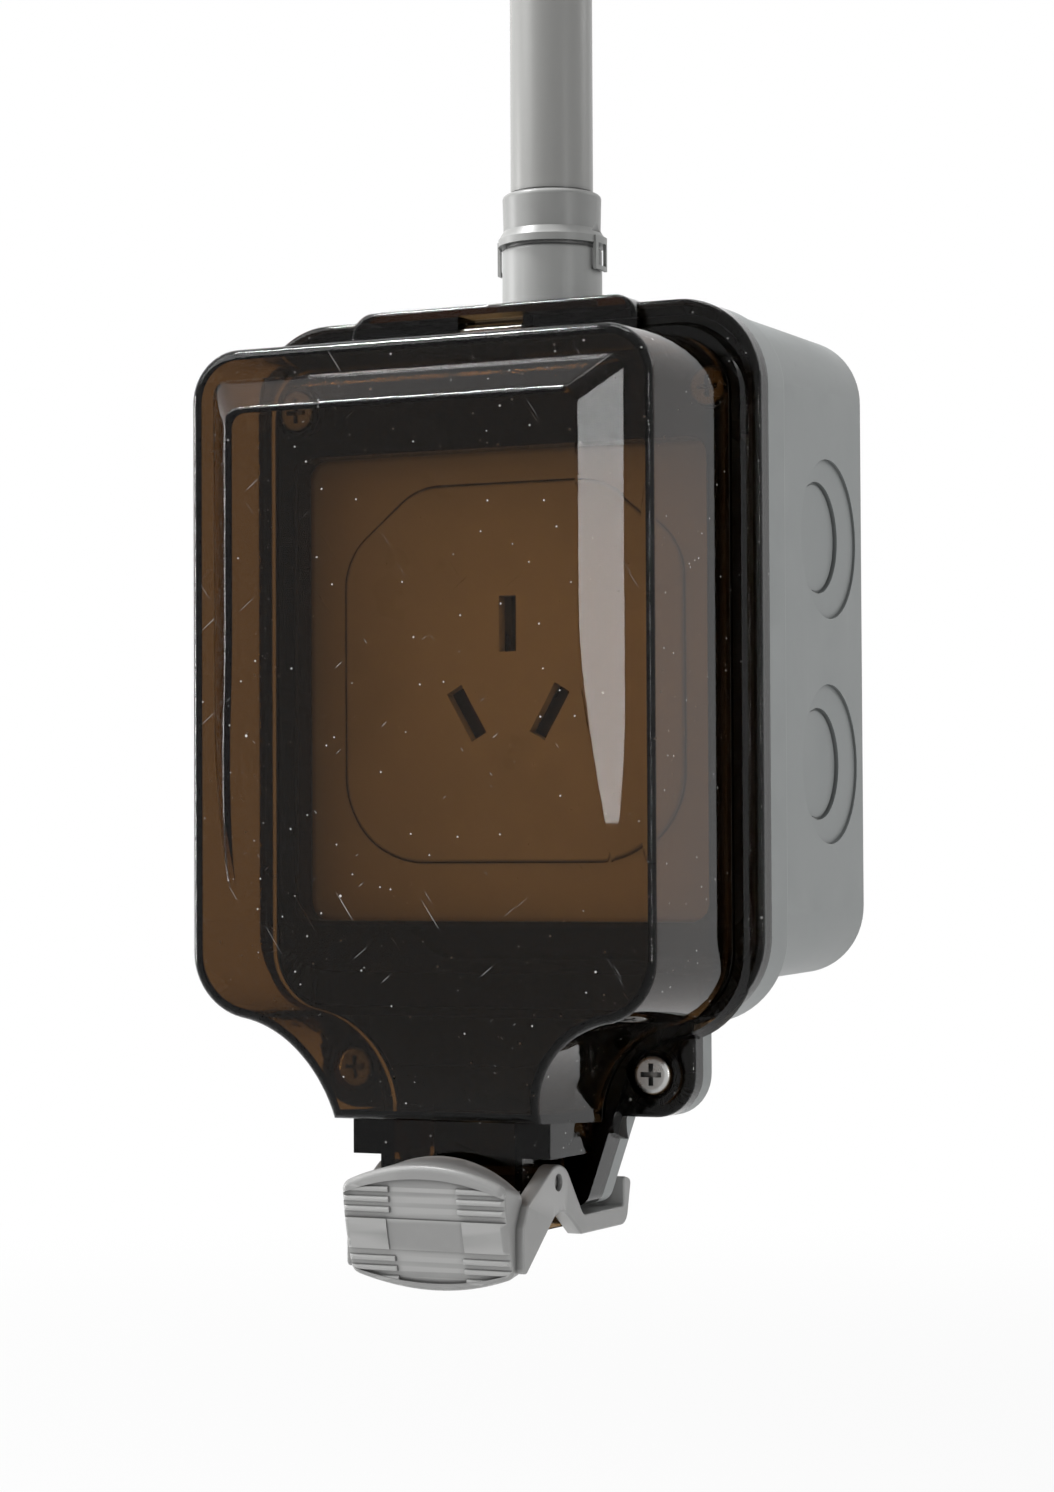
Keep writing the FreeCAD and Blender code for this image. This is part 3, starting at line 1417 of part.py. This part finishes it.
def build():
    """All nodes by name."""
    slots = slot_places()
    terminals = terminal_places()
    return {
        "back_box": back_box(),
        "box_gasket": box_gasket(),
        "cover_frame": cover_frame(),
        "lid_seal": lid_seal(),
        "hinge_pin": hinge_pin(),
        "ear_screws": ear_screws(),
        "top_screws": top_screws(),
        "lid": lid(),
        "latch": latch(),
        "latch_pins": latch_pins(),
        "cable_seal": cable_seal(),
        "socket_plate": socket_plate(),
        "socket_insert": socket_insert(),
        "carrier_plate": carrier_plate(),
        "carrier_screws": carrier_screws(),
        "socket_base": socket_base(),
        "base_screws": base_screws(),
        "earth_contact": contact(slots[0], terminals[0]),
        "line_contact": contact(slots[1], terminals[1]),
        "neutral_contact": contact(slots[2], terminals[2]),
        "terminal_screws": terminal_screws(),
        "shutter": shutter(),
        "shutter_spring": shutter_spring(),
        "conduit": conduit(),
        "conduit_adaptor": conduit_adaptor(),
        "conduit_nut": conduit_nut(),
        "conduit_locknut": conduit_locknut(),
        "conduit_ring": conduit_ring(),
    }


def main():
    """Writes one file for each node."""
    os.makedirs("parts", exist_ok=True)
    for node, shape in build().items():
        if isinstance(shape, list):
            shape = Part.makeCompound(shape)
        print(node, "solids", len(shape.Solids), "valid", shape.isValid(), "volume", round(shape.Volume, 1))
        shape.exportStep("parts/" + node + ".step")


main()
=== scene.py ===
"""Dressed scene of the weatherproof power outlet: materials, studio and camera, in metres."""

import bpy
import math
from collections import namedtuple
from mathutils import Matrix, Vector


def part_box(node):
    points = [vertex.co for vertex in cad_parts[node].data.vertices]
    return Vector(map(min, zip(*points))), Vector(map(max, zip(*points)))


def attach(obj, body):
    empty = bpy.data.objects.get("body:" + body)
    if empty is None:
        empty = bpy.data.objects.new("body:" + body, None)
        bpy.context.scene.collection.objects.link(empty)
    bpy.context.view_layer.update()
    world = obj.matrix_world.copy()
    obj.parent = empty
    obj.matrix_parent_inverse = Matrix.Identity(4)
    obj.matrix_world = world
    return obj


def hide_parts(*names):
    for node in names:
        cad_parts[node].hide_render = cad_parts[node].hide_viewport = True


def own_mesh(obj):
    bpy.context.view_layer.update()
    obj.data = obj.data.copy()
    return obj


MM = 0.001

# Camera, fitted to the straight edges of the photograph
PHOTO_HEIGHT = 1492
FOCAL_PIXELS = 3560.646
SENSOR_MM = 36.0
CAMERA_PLACE = (0.279339, -0.624228, -0.029358)
CAMERA_AZIMUTH = math.radians(25.788)
CAMERA_PITCH = math.radians(1.67)
CAMERA_ROLL = math.radians(-0.282)
CAMERA_CLIP_START = 10 * MM

# Floor and surroundings
FLOOR_Z = -0.17
FLOOR_HALF = 4.0
FLOOR_ALBEDO = 0.62
FLOOR_OWN_WHITE = 0.86
FLOOR_FADE_START = 0.15
FLOOR_FADE_END = 0.7
BACKGROUND_WHITE = 1.0
WORLD_FILL = 0.15

# Lamps: place seen from the middle of the object in degrees and metres, azimuth from the front to the right
Lamp = namedtuple("Lamp", "name azimuth elevation distance width height radiance")
LAMPS = (
    Lamp("key_left", azimuth=-46.0, elevation=34.0, distance=1.2, width=0.6, height=0.7, radiance=5.0),
    Lamp("edge_top", azimuth=-66.0, elevation=62.0, distance=1.0, width=0.2, height=0.13, radiance=100.0),
    Lamp("edge_left", azimuth=-78.0, elevation=2.0, distance=1.0, width=0.22, height=0.42, radiance=15.0),
    Lamp("strip_right", azimuth=63.5, elevation=-1.0, distance=1.0, width=0.085, height=0.44, radiance=18.0),
    Lamp("back_right", azimuth=128.0, elevation=30.0, distance=0.9, width=0.3, height=0.35, radiance=2.4),
    Lamp("top", azimuth=0.0, elevation=88.0, distance=1.1, width=0.45, height=0.45, radiance=5.0),
)

# Colours, linear
PURE_WHITE = (1.0, 1.0, 1.0)
BOX_GREY = (0.262, 0.278, 0.277)
LATCH_GREY = (0.345, 0.345, 0.34)
CONDUIT_GREY = (0.285, 0.285, 0.276)
FITTING_GREY = (0.3, 0.302, 0.295)
ADAPTOR_GREY = (0.345, 0.347, 0.34)
PLATE_WHITE = (0.7, 0.69, 0.66)
CARRIER_GREY = (0.5, 0.5, 0.48)
BASE_DARK = (0.06, 0.06, 0.065)
SHUTTER_DARK = (0.08, 0.07, 0.065)
RUBBER_BLACK = (0.02, 0.02, 0.02)
STEEL = (0.46, 0.46, 0.45)
DARK_STEEL = (0.1, 0.1, 0.105)
BRASS = (0.72, 0.52, 0.22)
DUST = (0.8, 0.8, 0.78)

# Kinds of noise, and the stretch of the place that it is drawn at
GRAIN_NOISE = {"detail": 2.0, "roughness": 0.5}
CLOUD_NOISE = {"detail": 3.0, "roughness": 0.6}
SMOOTH_NOISE = {"detail": 1.0, "roughness": 0.4}
EVEN = (1.0, 1.0, 1.0)
FLAT = (1.0, 1.0, 0.0)
DRAWN_ACROSS = (4.0, 1.0, 1.0)
DRAWN_DEEP = (1.0, 4.0, 1.0)
EXTRUDED_UP = (1.0, 1.0, 0.05)

# Painted shade, darker where another face is near
CREVICE_REACH = 1.4 * MM
CREVICE_RANGE = (0.45, 0.97)
CREVICE_SAMPLES = 8
PLASTIC_CREVICE_SHADE = 0.5
METAL_CREVICE_SHADE = 0.18

# Moulded plastic
PLASTIC_IOR = 1.5
GRAIN_SIZE = 0.35 * MM
GRAIN_STRENGTH = 0.12
GRAIN_DEPTH = 0.04 * MM
FLOW_SIZE = 12 * MM
FLOW_RANGE = (0.35, 0.65)
MOTTLE = 0.05
# Convex edges paler by this factor: partly wear, partly a painted edge highlight
EDGE_WEAR_AND_HIGHLIGHT = 1.12
EDGE_RANGE = (0.51, 0.56)
GLOSS_RANGE = (0.3, 0.7)
PLASTIC_GLOSS_SPREAD = (0.9, 1.1)

# Metal
METAL_GRAIN_SIZE = 0.4 * MM
METAL_GRAIN_STRENGTH = 0.2
METAL_GRAIN_DEPTH = 0.05 * MM
PATCH_SIZE = 4 * MM
PATCH_RANGE = (0.4, 0.7)
PATCH_SHADE = 0.8
METAL_GLOSS_SPREAD = (0.8, 1.3)

# Smoked plastic: absorption per metre, as density and the colour that stays
SMOKE_DENSITY = 1150.0
SMOKE_COLOUR = (0.48, 0.32, 0.06)
SMOKE_IOR = 1.4
SMOKE_ROUGHNESS = 0.03
SMOKE_SPECULAR = (0.45, 0.45, 0.45)
SMOKE_SHADOW = (0.84, 0.82, 0.8)
HAZE_SIZE = 20 * MM
HAZE_RANGE = (0.35, 0.75)
HAZE_SPREAD = (1.0, 1.4)
SWELL_SIZE = 18 * MM
SWELL_STRENGTH = 0.006
SWELL_DEPTH = 0.4 * MM

# Dust specks and hairline scratches on the smoked plastic
Specks = namedtuple("Specks", "cell radius share")
FINE_SPECKS = Specks(cell=2.6 * MM, radius=0.2 * MM, share=0.6)
COARSE_SPECKS = Specks(cell=8 * MM, radius=0.3 * MM, share=0.4)
COARSE_GAIN = 1.4
SPECK_CORE = 0.6
Scratches = namedtuple("Scratches", "angle low high")
RISING_SCRATCHES = Scratches(angle=0.6, low=0.79, high=0.84)
FALLING_SCRATCHES = Scratches(angle=-0.9, low=0.8, high=0.85)
SCRATCH_WIDTH = 0.35 * MM
SCRATCH_STRETCH = (1.0, 1.0, 0.025)
SCRATCH_GAIN = 0.6

# Nodes of the part that share a material
NODES_OF_LOOK = {
    "box_grey": ("back_box",),
    "latch_grey": ("latch",),
    "smoked_lid": ("lid",),
    "smoked_frame": ("cover_frame",),
    "rubber": ("box_gasket", "lid_seal", "cable_seal", "conduit_ring"),
    "steel": ("ear_screws", "top_screws", "latch_pins", "carrier_screws", "base_screws", "terminal_screws"),
    "dark_steel": ("hinge_pin",),
    "plate_white": ("socket_plate", "socket_insert"),
    "carrier": ("carrier_plate",),
    "base_dark": ("socket_base",),
    "shutter_dark": ("shutter",),
    "brass": ("earth_contact", "line_contact", "neutral_contact"),
    "conduit_grey": ("conduit",),
    "fitting_grey": ("conduit_nut", "conduit_locknut"),
    "adaptor_grey": ("conduit_adaptor",),
}

# Return spring of the shutter: a coil that fills the box of the part's spring
SPRING_WIRE_R = 0.25 * MM
SPRING_TURNS = 5
SPRING_STEPS = 24
SPRING_ROUNDNESS = 2


def opaque(colour):
    """Colour with full alpha, as a socket takes it."""
    return (*colour, 1.0)


def scaled(colour, factor):
    """Colour made lighter or darker, no lighter than white."""
    return tuple(min(channel * factor, 1.0) for channel in colour)


def add(tree, kind, links=None, **settings):
    """A node with its properties set and its inputs set or linked."""
    made = tree.nodes.new(kind)
    for name, value in settings.items():
        setattr(made, name, value)
    for name, value in (links or {}).items():
        set_input(tree, made.inputs[name], value)
    return made


def set_input(tree, socket, value):
    """Links another node's socket to an input, or sets the input's value."""
    if isinstance(value, bpy.types.NodeSocket):
        tree.links.new(value, socket)
    else:
        socket.default_value = value


def math_node(tree, operation, a, b=0.0, **settings):
    """Result socket of a sum, product or other operation."""
    return add(tree, "ShaderNodeMath", {0: a, 1: b}, operation=operation, **settings).outputs[0]


def ramp(tree, value, low, high, out_low=0.0, out_high=1.0):
    """Result socket of a smooth step between two values."""
    return add(tree, "ShaderNodeMapRange",
               {"Value": value, "From Min": low, "From Max": high, "To Min": out_low, "To Max": out_high},
               interpolation_type="SMOOTHSTEP").outputs["Result"]


def mixed_colour(tree, factor, colour_a, colour_b):
    """Result socket of a blend of two colours, each a tuple or a socket."""
    mix = add(tree, "ShaderNodeMix", {"Factor": factor}, data_type="RGBA")
    for socket, colour in ((mix.inputs[6], colour_a), (mix.inputs[7], colour_b)):
        set_input(tree, socket, opaque(colour) if isinstance(colour, tuple) else colour)
    return mix.outputs[2]


def mixed_shader(tree, factor, shader_a, shader_b):
    """Node that blends two shaders."""
    return add(tree, "ShaderNodeMixShader", {0: factor, 1: shader_a.outputs[0], 2: shader_b.outputs[0]})


def object_place(tree, stretch=EVEN):
    """Place on the object in metres, stretched along an axis."""
    place = add(tree, "ShaderNodeTexCoord").outputs["Object"]
    return add(tree, "ShaderNodeMapping", {"Vector": place, "Scale": stretch}).outputs["Vector"]


def noise(tree, place, size, detail, roughness):
    """Noise whose lumps are about one size across."""
    made = add(tree, "ShaderNodeTexNoise",
               {"Vector": place, "Scale": 1.0 / size, "Detail": detail, "Roughness": roughness})
    return made.outputs["Fac"]


def raised(tree, height, strength, depth):
    """Normal socket of a surface that a pattern raises."""
    return add(tree, "ShaderNodeBump",
               {"Strength": strength, "Distance": depth, "Height": height}).outputs["Normal"]


def gloss_around(tree, pattern, span, roughness, spread):
    """Roughness that varies with a pattern, between two shares of a value."""
    return ramp(tree, pattern, *span, roughness * spread[0], roughness * spread[1])


def new_material(name):
    """Empty material with its output node."""
    material = bpy.data.materials.new(name)
    material.use_nodes = True
    tree = material.node_tree
    tree.nodes.clear()
    return material, tree, add(tree, "ShaderNodeOutputMaterial")


def finish_material(tree, output, shader):
    """Links a shader to the material's output."""
    tree.links.new(shader.outputs[0], output.inputs["Surface"])


def edge_light(tree):
    """Factor that is 1 on convex edges, where wear and a painted edge highlight go."""
    return ramp(tree, add(tree, "ShaderNodeNewGeometry").outputs["Pointiness"], *EDGE_RANGE)


def with_painted_crevice_shade(tree, unshaded, painted_shade_colour):
    """Colour that goes over into a darker one in crevices and recesses, as painted shade where another face
    is near.
    """
    nearby = add(tree, "ShaderNodeAmbientOcclusion", {"Distance": CREVICE_REACH}, samples=CREVICE_SAMPLES)
    return mixed_colour(tree, ramp(tree, nearby.outputs["AO"], *CREVICE_RANGE), painted_shade_colour, unshaded)


def moulded(name, colour, roughness, grain=GRAIN_SIZE, grain_strength=GRAIN_STRENGTH, blotch=FLOW_SIZE,
            mottle=MOTTLE, edge=EDGE_WEAR_AND_HIGHLIGHT, stretch=EVEN):
    """Satin moulded plastic: fine grain, faint flow marks, edges paler by wear and a painted highlight,
    painted shade in crevices.
    """
    material, tree, output = new_material(name)
    place = object_place(tree, stretch)
    flow = noise(tree, place, blotch, **CLOUD_NOISE)
    fine = noise(tree, place, grain, **GRAIN_NOISE)
    dark = scaled(colour, 1.0 - mottle)
    light = scaled(colour, 1.0 + mottle)
    body = mixed_colour(tree, ramp(tree, flow, *FLOW_RANGE), dark, light)
    # Convex edges made paler: partly wear, partly a painted edge highlight
    worn_and_highlit = mixed_colour(tree, edge_light(tree), body, scaled(colour, edge))
    # Colour darkened where another face is near: painted shade in crevices and recesses
    shader = add(tree, "ShaderNodeBsdfPrincipled",
                 {"Base Color": with_painted_crevice_shade(tree, worn_and_highlit, scaled(colour, PLASTIC_CREVICE_SHADE)),
                  "Roughness": gloss_around(tree, flow, GLOSS_RANGE, roughness, PLASTIC_GLOSS_SPREAD),
                  "Normal": raised(tree, fine, grain_strength, GRAIN_DEPTH),
                  "IOR": PLASTIC_IOR})
    finish_material(tree, output, shader)
    return material


def metal(name, colour, roughness, stretch):
    """Plated or bare metal with a drawn grain, dulled patches and painted shade in its recesses."""
    material, tree, output = new_material(name)
    grain = noise(tree, object_place(tree, stretch), METAL_GRAIN_SIZE, **GRAIN_NOISE)
    patch = noise(tree, object_place(tree), PATCH_SIZE, **CLOUD_NOISE)
    plain = mixed_colour(tree, ramp(tree, patch, *PATCH_RANGE), colour, scaled(colour, PATCH_SHADE))
    # Colour darkened where another face is near: painted shade in recesses
    shader = add(tree, "ShaderNodeBsdfPrincipled",
                 {"Base Color": with_painted_crevice_shade(tree, plain, scaled(colour, METAL_CREVICE_SHADE)),
                  "Roughness": gloss_around(tree, patch, GLOSS_RANGE, roughness, METAL_GLOSS_SPREAD),
                  "Normal": raised(tree, grain, METAL_GRAIN_STRENGTH, METAL_GRAIN_DEPTH),
                  "Metallic": 1.0})
    finish_material(tree, output, shader)
    return material


def specks(tree, kind):
    """Factor that is 1 on sparse round specks."""
    spots = add(tree, "ShaderNodeTexVoronoi",
                {"Vector": object_place(tree), "Scale": 1.0 / kind.cell, "Randomness": 1.0})
    rim = kind.radius / kind.cell
    near = ramp(tree, spots.outputs["Distance"], rim * SPECK_CORE, rim, 1.0, 0.0)
    chance = add(tree, "ShaderNodeSeparateColor", {"Color": spots.outputs["Color"]}).outputs["Red"]
    return math_node(tree, "MULTIPLY", near, math_node(tree, "LESS_THAN", chance, kind.share))


def hairlines(tree, kind):
    """Factor that is 1 on a few long thin scratches at one angle."""
    place = add(tree, "ShaderNodeTexCoord").outputs["Object"]
    turned = add(tree, "ShaderNodeMapping", {"Vector": place, "Rotation": (0.0, kind.angle, 0.0)})
    drawn = add(tree, "ShaderNodeMapping", {"Vector": turned.outputs["Vector"], "Scale": SCRATCH_STRETCH})
    lines = noise(tree, drawn.outputs["Vector"], SCRATCH_WIDTH, **SMOOTH_NOISE)
    return ramp(tree, lines, kind.low, kind.high)


def surface_marks(tree):
    """Factor of the specks and scratches together."""
    coarse = math_node(tree, "MULTIPLY", specks(tree, COARSE_SPECKS), COARSE_GAIN)
    dots = math_node(tree, "ADD", specks(tree, FINE_SPECKS), coarse)
    lines = math_node(tree, "ADD", hairlines(tree, RISING_SCRATCHES), hairlines(tree, FALLING_SCRATCHES))
    return math_node(tree, "ADD", dots, math_node(tree, "MULTIPLY", lines, SCRATCH_GAIN))


def smoked(name, dust):
    """Polished smoked plastic: clear surface, absorbing body, light dust and hairline scratches."""
    material, tree, output = new_material(name)
    dusty = math_node(tree, "MULTIPLY", surface_marks(tree), dust, use_clamp=True)
    haze = noise(tree, object_place(tree), HAZE_SIZE, **CLOUD_NOISE)
    swell = noise(tree, object_place(tree), SWELL_SIZE, **SMOOTH_NOISE)
    glass = add(tree, "ShaderNodeBsdfPrincipled",
                {"Base Color": mixed_colour(tree, dusty, PURE_WHITE, DUST),
                 "Roughness": gloss_around(tree, haze, HAZE_RANGE, SMOKE_ROUGHNESS, HAZE_SPREAD),
                 "Transmission Weight": math_node(tree, "SUBTRACT", 1.0, dusty),
                 "IOR": SMOKE_IOR,
                 "Specular Tint": opaque(SMOKE_SPECULAR),
                 "Normal": raised(tree, swell, SWELL_STRENGTH, SWELL_DEPTH)})
    shadow_way = add(tree, "ShaderNodeBsdfTransparent", {"Color": opaque(SMOKE_SHADOW)})
    shadow_ray = add(tree, "ShaderNodeLightPath").outputs["Is Shadow Ray"]
    finish_material(tree, output, mixed_shader(tree, shadow_ray, glass, shadow_way))
    body = add(tree, "ShaderNodeVolumeAbsorption", {"Color": opaque(SMOKE_COLOUR), "Density": SMOKE_DENSITY})
    tree.links.new(body.outputs[0], output.inputs["Volume"])
    return material


def make_materials():
    """All materials by the name of their look."""
    return {
        # edge: how much paler convex edges are, partly wear and partly a painted edge highlight
        "box_grey": moulded("box_grey", BOX_GREY, roughness=0.42, edge=1.0),
        "latch_grey": moulded("latch_grey", LATCH_GREY, roughness=0.36, edge=1.35),
        "smoked_lid": smoked("smoked_lid", dust=0.75),
        "smoked_frame": smoked("smoked_frame", dust=0.3),
        "rubber": moulded("seal_rubber", RUBBER_BLACK, roughness=0.75, grain=0.6 * MM, grain_strength=0.3),
        "steel": metal("zinc_steel", STEEL, roughness=0.3, stretch=DRAWN_DEEP),
        "dark_steel": metal("blackened_steel", DARK_STEEL, roughness=0.35, stretch=DRAWN_ACROSS),
        "plate_white": moulded("plate_white", PLATE_WHITE, roughness=0.3, grain=0.5 * MM, blotch=16 * MM,
                               mottle=0.04, edge=1.03),
        "carrier": moulded("carrier_nylon", CARRIER_GREY, roughness=0.5),
        "base_dark": moulded("base_thermoset", BASE_DARK, roughness=0.5),
        "shutter_dark": moulded("shutter_nylon", SHUTTER_DARK, roughness=0.45),
        "brass": metal("brass_strip", BRASS, roughness=0.28, stretch=DRAWN_DEEP),
        "conduit_grey": moulded("conduit_pvc", CONDUIT_GREY, roughness=0.28, stretch=EXTRUDED_UP),
        "fitting_grey": moulded("fitting_pvc", FITTING_GREY, roughness=0.36),
        "adaptor_grey": moulded("adaptor_pvc", ADAPTOR_GREY, roughness=0.36),
    }


def objects_of(frame, node):
    """Objects of one node of the frame."""
    found = frame["nodes"][node]
    return found if isinstance(found, (list, tuple)) else [found]


def dress(frame, materials):
    """Gives every node its material."""
    for look, nodes in NODES_OF_LOOK.items():
        for node in nodes:
            for solid in objects_of(frame, node):
                solid.data.materials.clear()
                solid.data.materials.append(materials[look])


def spring_line(low, high):
    """Curve with a round section that winds up through a box."""
    middle = (low + high) / 2
    coil_r = (high.x - low.x) / 2 - SPRING_WIRE_R
    foot = low.z + SPRING_WIRE_R
    rise = high.z - low.z - 2 * SPRING_WIRE_R
    steps = SPRING_TURNS * SPRING_STEPS
    curve = bpy.data.curves.new("return_spring", "CURVE")
    curve.dimensions = "3D"
    curve.bevel_depth = SPRING_WIRE_R
    curve.bevel_resolution = SPRING_ROUNDNESS
    curve.use_fill_caps = True
    line = curve.splines.new("POLY")
    line.points.add(steps)
    for index, point in enumerate(line.points):
        turn = math.tau * index / SPRING_STEPS
        point.co = (middle.x + coil_r * math.cos(turn), middle.y + coil_r * math.sin(turn),
                    foot + rise * index / steps, 1.0)
    return curve


def make_spring(material):
    """Coil that fills the box of the part's spring, in its place, and moves with the box."""
    low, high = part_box("shutter_spring")
    drawn = bpy.data.objects.new("return_spring_line", spring_line(low, high))
    bpy.context.scene.collection.objects.link(drawn)
    mesh = bpy.data.meshes.new_from_object(drawn.evaluated_get(bpy.context.evaluated_depsgraph_get()))
    bpy.data.objects.remove(drawn)
    mesh.materials.clear()
    mesh.materials.append(material)
    spring = bpy.data.objects.new("return_spring", mesh)
    bpy.context.scene.collection.objects.link(spring)
    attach(spring, "box")
    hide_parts("shutter_spring")
    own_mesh(spring)


def seen_rays(tree):
    """Factor that is 1 for camera, glossy and transmission rays, so that all three show the background."""
    path = add(tree, "ShaderNodeLightPath")
    direct = math_node(tree, "MAXIMUM", path.outputs["Is Camera Ray"], path.outputs["Is Glossy Ray"])
    return math_node(tree, "MAXIMUM", direct, path.outputs["Is Transmission Ray"])


def softbox(lamp):
    """Area lamp that looks at the middle of the object.

    It doesn't show through the clear parts, so that they show the background.
    """
    data = bpy.data.lights.new(lamp.name, "AREA")
    data.shape = "RECTANGLE"
    data.size = lamp.width
    data.size_y = lamp.height
    data.energy = lamp.radiance * math.pi * lamp.width * lamp.height
    placed = bpy.data.objects.new(lamp.name, data)
    placed.visible_transmission = False
    bpy.context.scene.collection.objects.link(placed)
    turn = math.radians(lamp.azimuth)
    rise = math.radians(lamp.elevation)
    towards = Vector((math.sin(turn) * math.cos(rise), -math.cos(turn) * math.cos(rise), math.sin(rise)))
    placed.location = towards * lamp.distance
    placed.rotation_euler = towards.to_track_quat("Z", "Y").to_euler()


def set_world():
    """White to the eye, in reflections and through clear parts, and a soft fill elsewhere."""
    world = bpy.data.worlds.new("studio")
    bpy.context.scene.world = world
    world.use_nodes = True
    tree = world.node_tree
    tree.nodes.clear()
    level = add(tree, "ShaderNodeMix",
                {"Factor": seen_rays(tree), "A": WORLD_FILL, "B": BACKGROUND_WHITE}, data_type="FLOAT")
    light = add(tree, "ShaderNodeBackground", {"Color": opaque(PURE_WHITE), "Strength": level.outputs[0]})
    output = add(tree, "ShaderNodeOutputWorld")
    tree.links.new(light.outputs[0], output.inputs["Surface"])


def floor_material():
    """Matt floor that is white to the eye far out, and keeps the object's shadow near it."""
    material, tree, output = new_material("floor")
    matt = add(tree, "ShaderNodeBsdfDiffuse", {"Color": (FLOOR_ALBEDO, FLOOR_ALBEDO, FLOOR_ALBEDO, 1.0)})
    white = add(tree, "ShaderNodeEmission", {"Color": opaque(PURE_WHITE), "Strength": BACKGROUND_WHITE})
    away = add(tree, "ShaderNodeVectorMath", {0: object_place(tree, FLAT)}, operation="LENGTH")
    own_white = ramp(tree, away.outputs["Value"], FLOOR_FADE_START, FLOOR_FADE_END, FLOOR_OWN_WHITE, 1.0)
    share = math_node(tree, "MULTIPLY", seen_rays(tree), own_white)
    finish_material(tree, output, mixed_shader(tree, share, matt, white))
    return material


def make_floor():
    """Pale floor a little below the outlet, which hangs on a wall."""
    mesh = bpy.data.meshes.new("floor")
    corners = [(-FLOOR_HALF, -FLOOR_HALF, FLOOR_Z), (FLOOR_HALF, -FLOOR_HALF, FLOOR_Z),
               (FLOOR_HALF, FLOOR_HALF, FLOOR_Z), (-FLOOR_HALF, FLOOR_HALF, FLOOR_Z)]
    mesh.from_pydata(corners, [], [(0, 1, 2, 3)])
    mesh.materials.append(floor_material())
    floor = bpy.data.objects.new("floor", mesh)
    bpy.context.scene.collection.objects.link(floor)


def camera_pose():
    """Camera's place and axes at the photograph's viewpoint."""
    turn, pitch, roll = CAMERA_AZIMUTH, CAMERA_PITCH, CAMERA_ROLL
    ahead = Vector((-math.sin(turn) * math.cos(pitch), math.cos(turn) * math.cos(pitch), math.sin(pitch)))
    right = Vector((math.cos(turn), math.sin(turn), 0.0))
    up = right.cross(ahead)
    rolled_right = right * math.cos(roll) + up * math.sin(roll)
    rolled_up = up * math.cos(roll) - right * math.sin(roll)
    pose = Matrix((rolled_right, rolled_up, -ahead)).transposed().to_4x4()
    pose.translation = Vector(CAMERA_PLACE)
    return pose


def set_camera():
    """Camera with the photograph's field of view."""
    data = bpy.data.cameras.new("camera")
    data.sensor_width = SENSOR_MM
    data.lens = FOCAL_PIXELS * SENSOR_MM / PHOTO_HEIGHT
    data.clip_start = CAMERA_CLIP_START
    camera = bpy.data.objects.new("camera", data)
    bpy.context.scene.collection.objects.link(camera)
    camera.matrix_world = camera_pose()
    bpy.context.scene.camera = camera


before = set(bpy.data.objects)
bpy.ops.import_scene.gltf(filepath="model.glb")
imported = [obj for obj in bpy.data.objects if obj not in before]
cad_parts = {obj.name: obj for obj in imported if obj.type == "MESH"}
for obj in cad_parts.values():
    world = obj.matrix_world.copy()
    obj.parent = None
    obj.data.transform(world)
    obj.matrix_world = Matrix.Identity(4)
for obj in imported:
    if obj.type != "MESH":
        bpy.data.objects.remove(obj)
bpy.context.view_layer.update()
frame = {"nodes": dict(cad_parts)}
looks_of_parts = make_materials()
dress(frame, looks_of_parts)
make_spring(looks_of_parts["steel"])
set_world()
make_floor()
for lamp in LAMPS:
    softbox(lamp)
set_camera()
bpy.context.scene.view_settings.view_transform = "Standard"
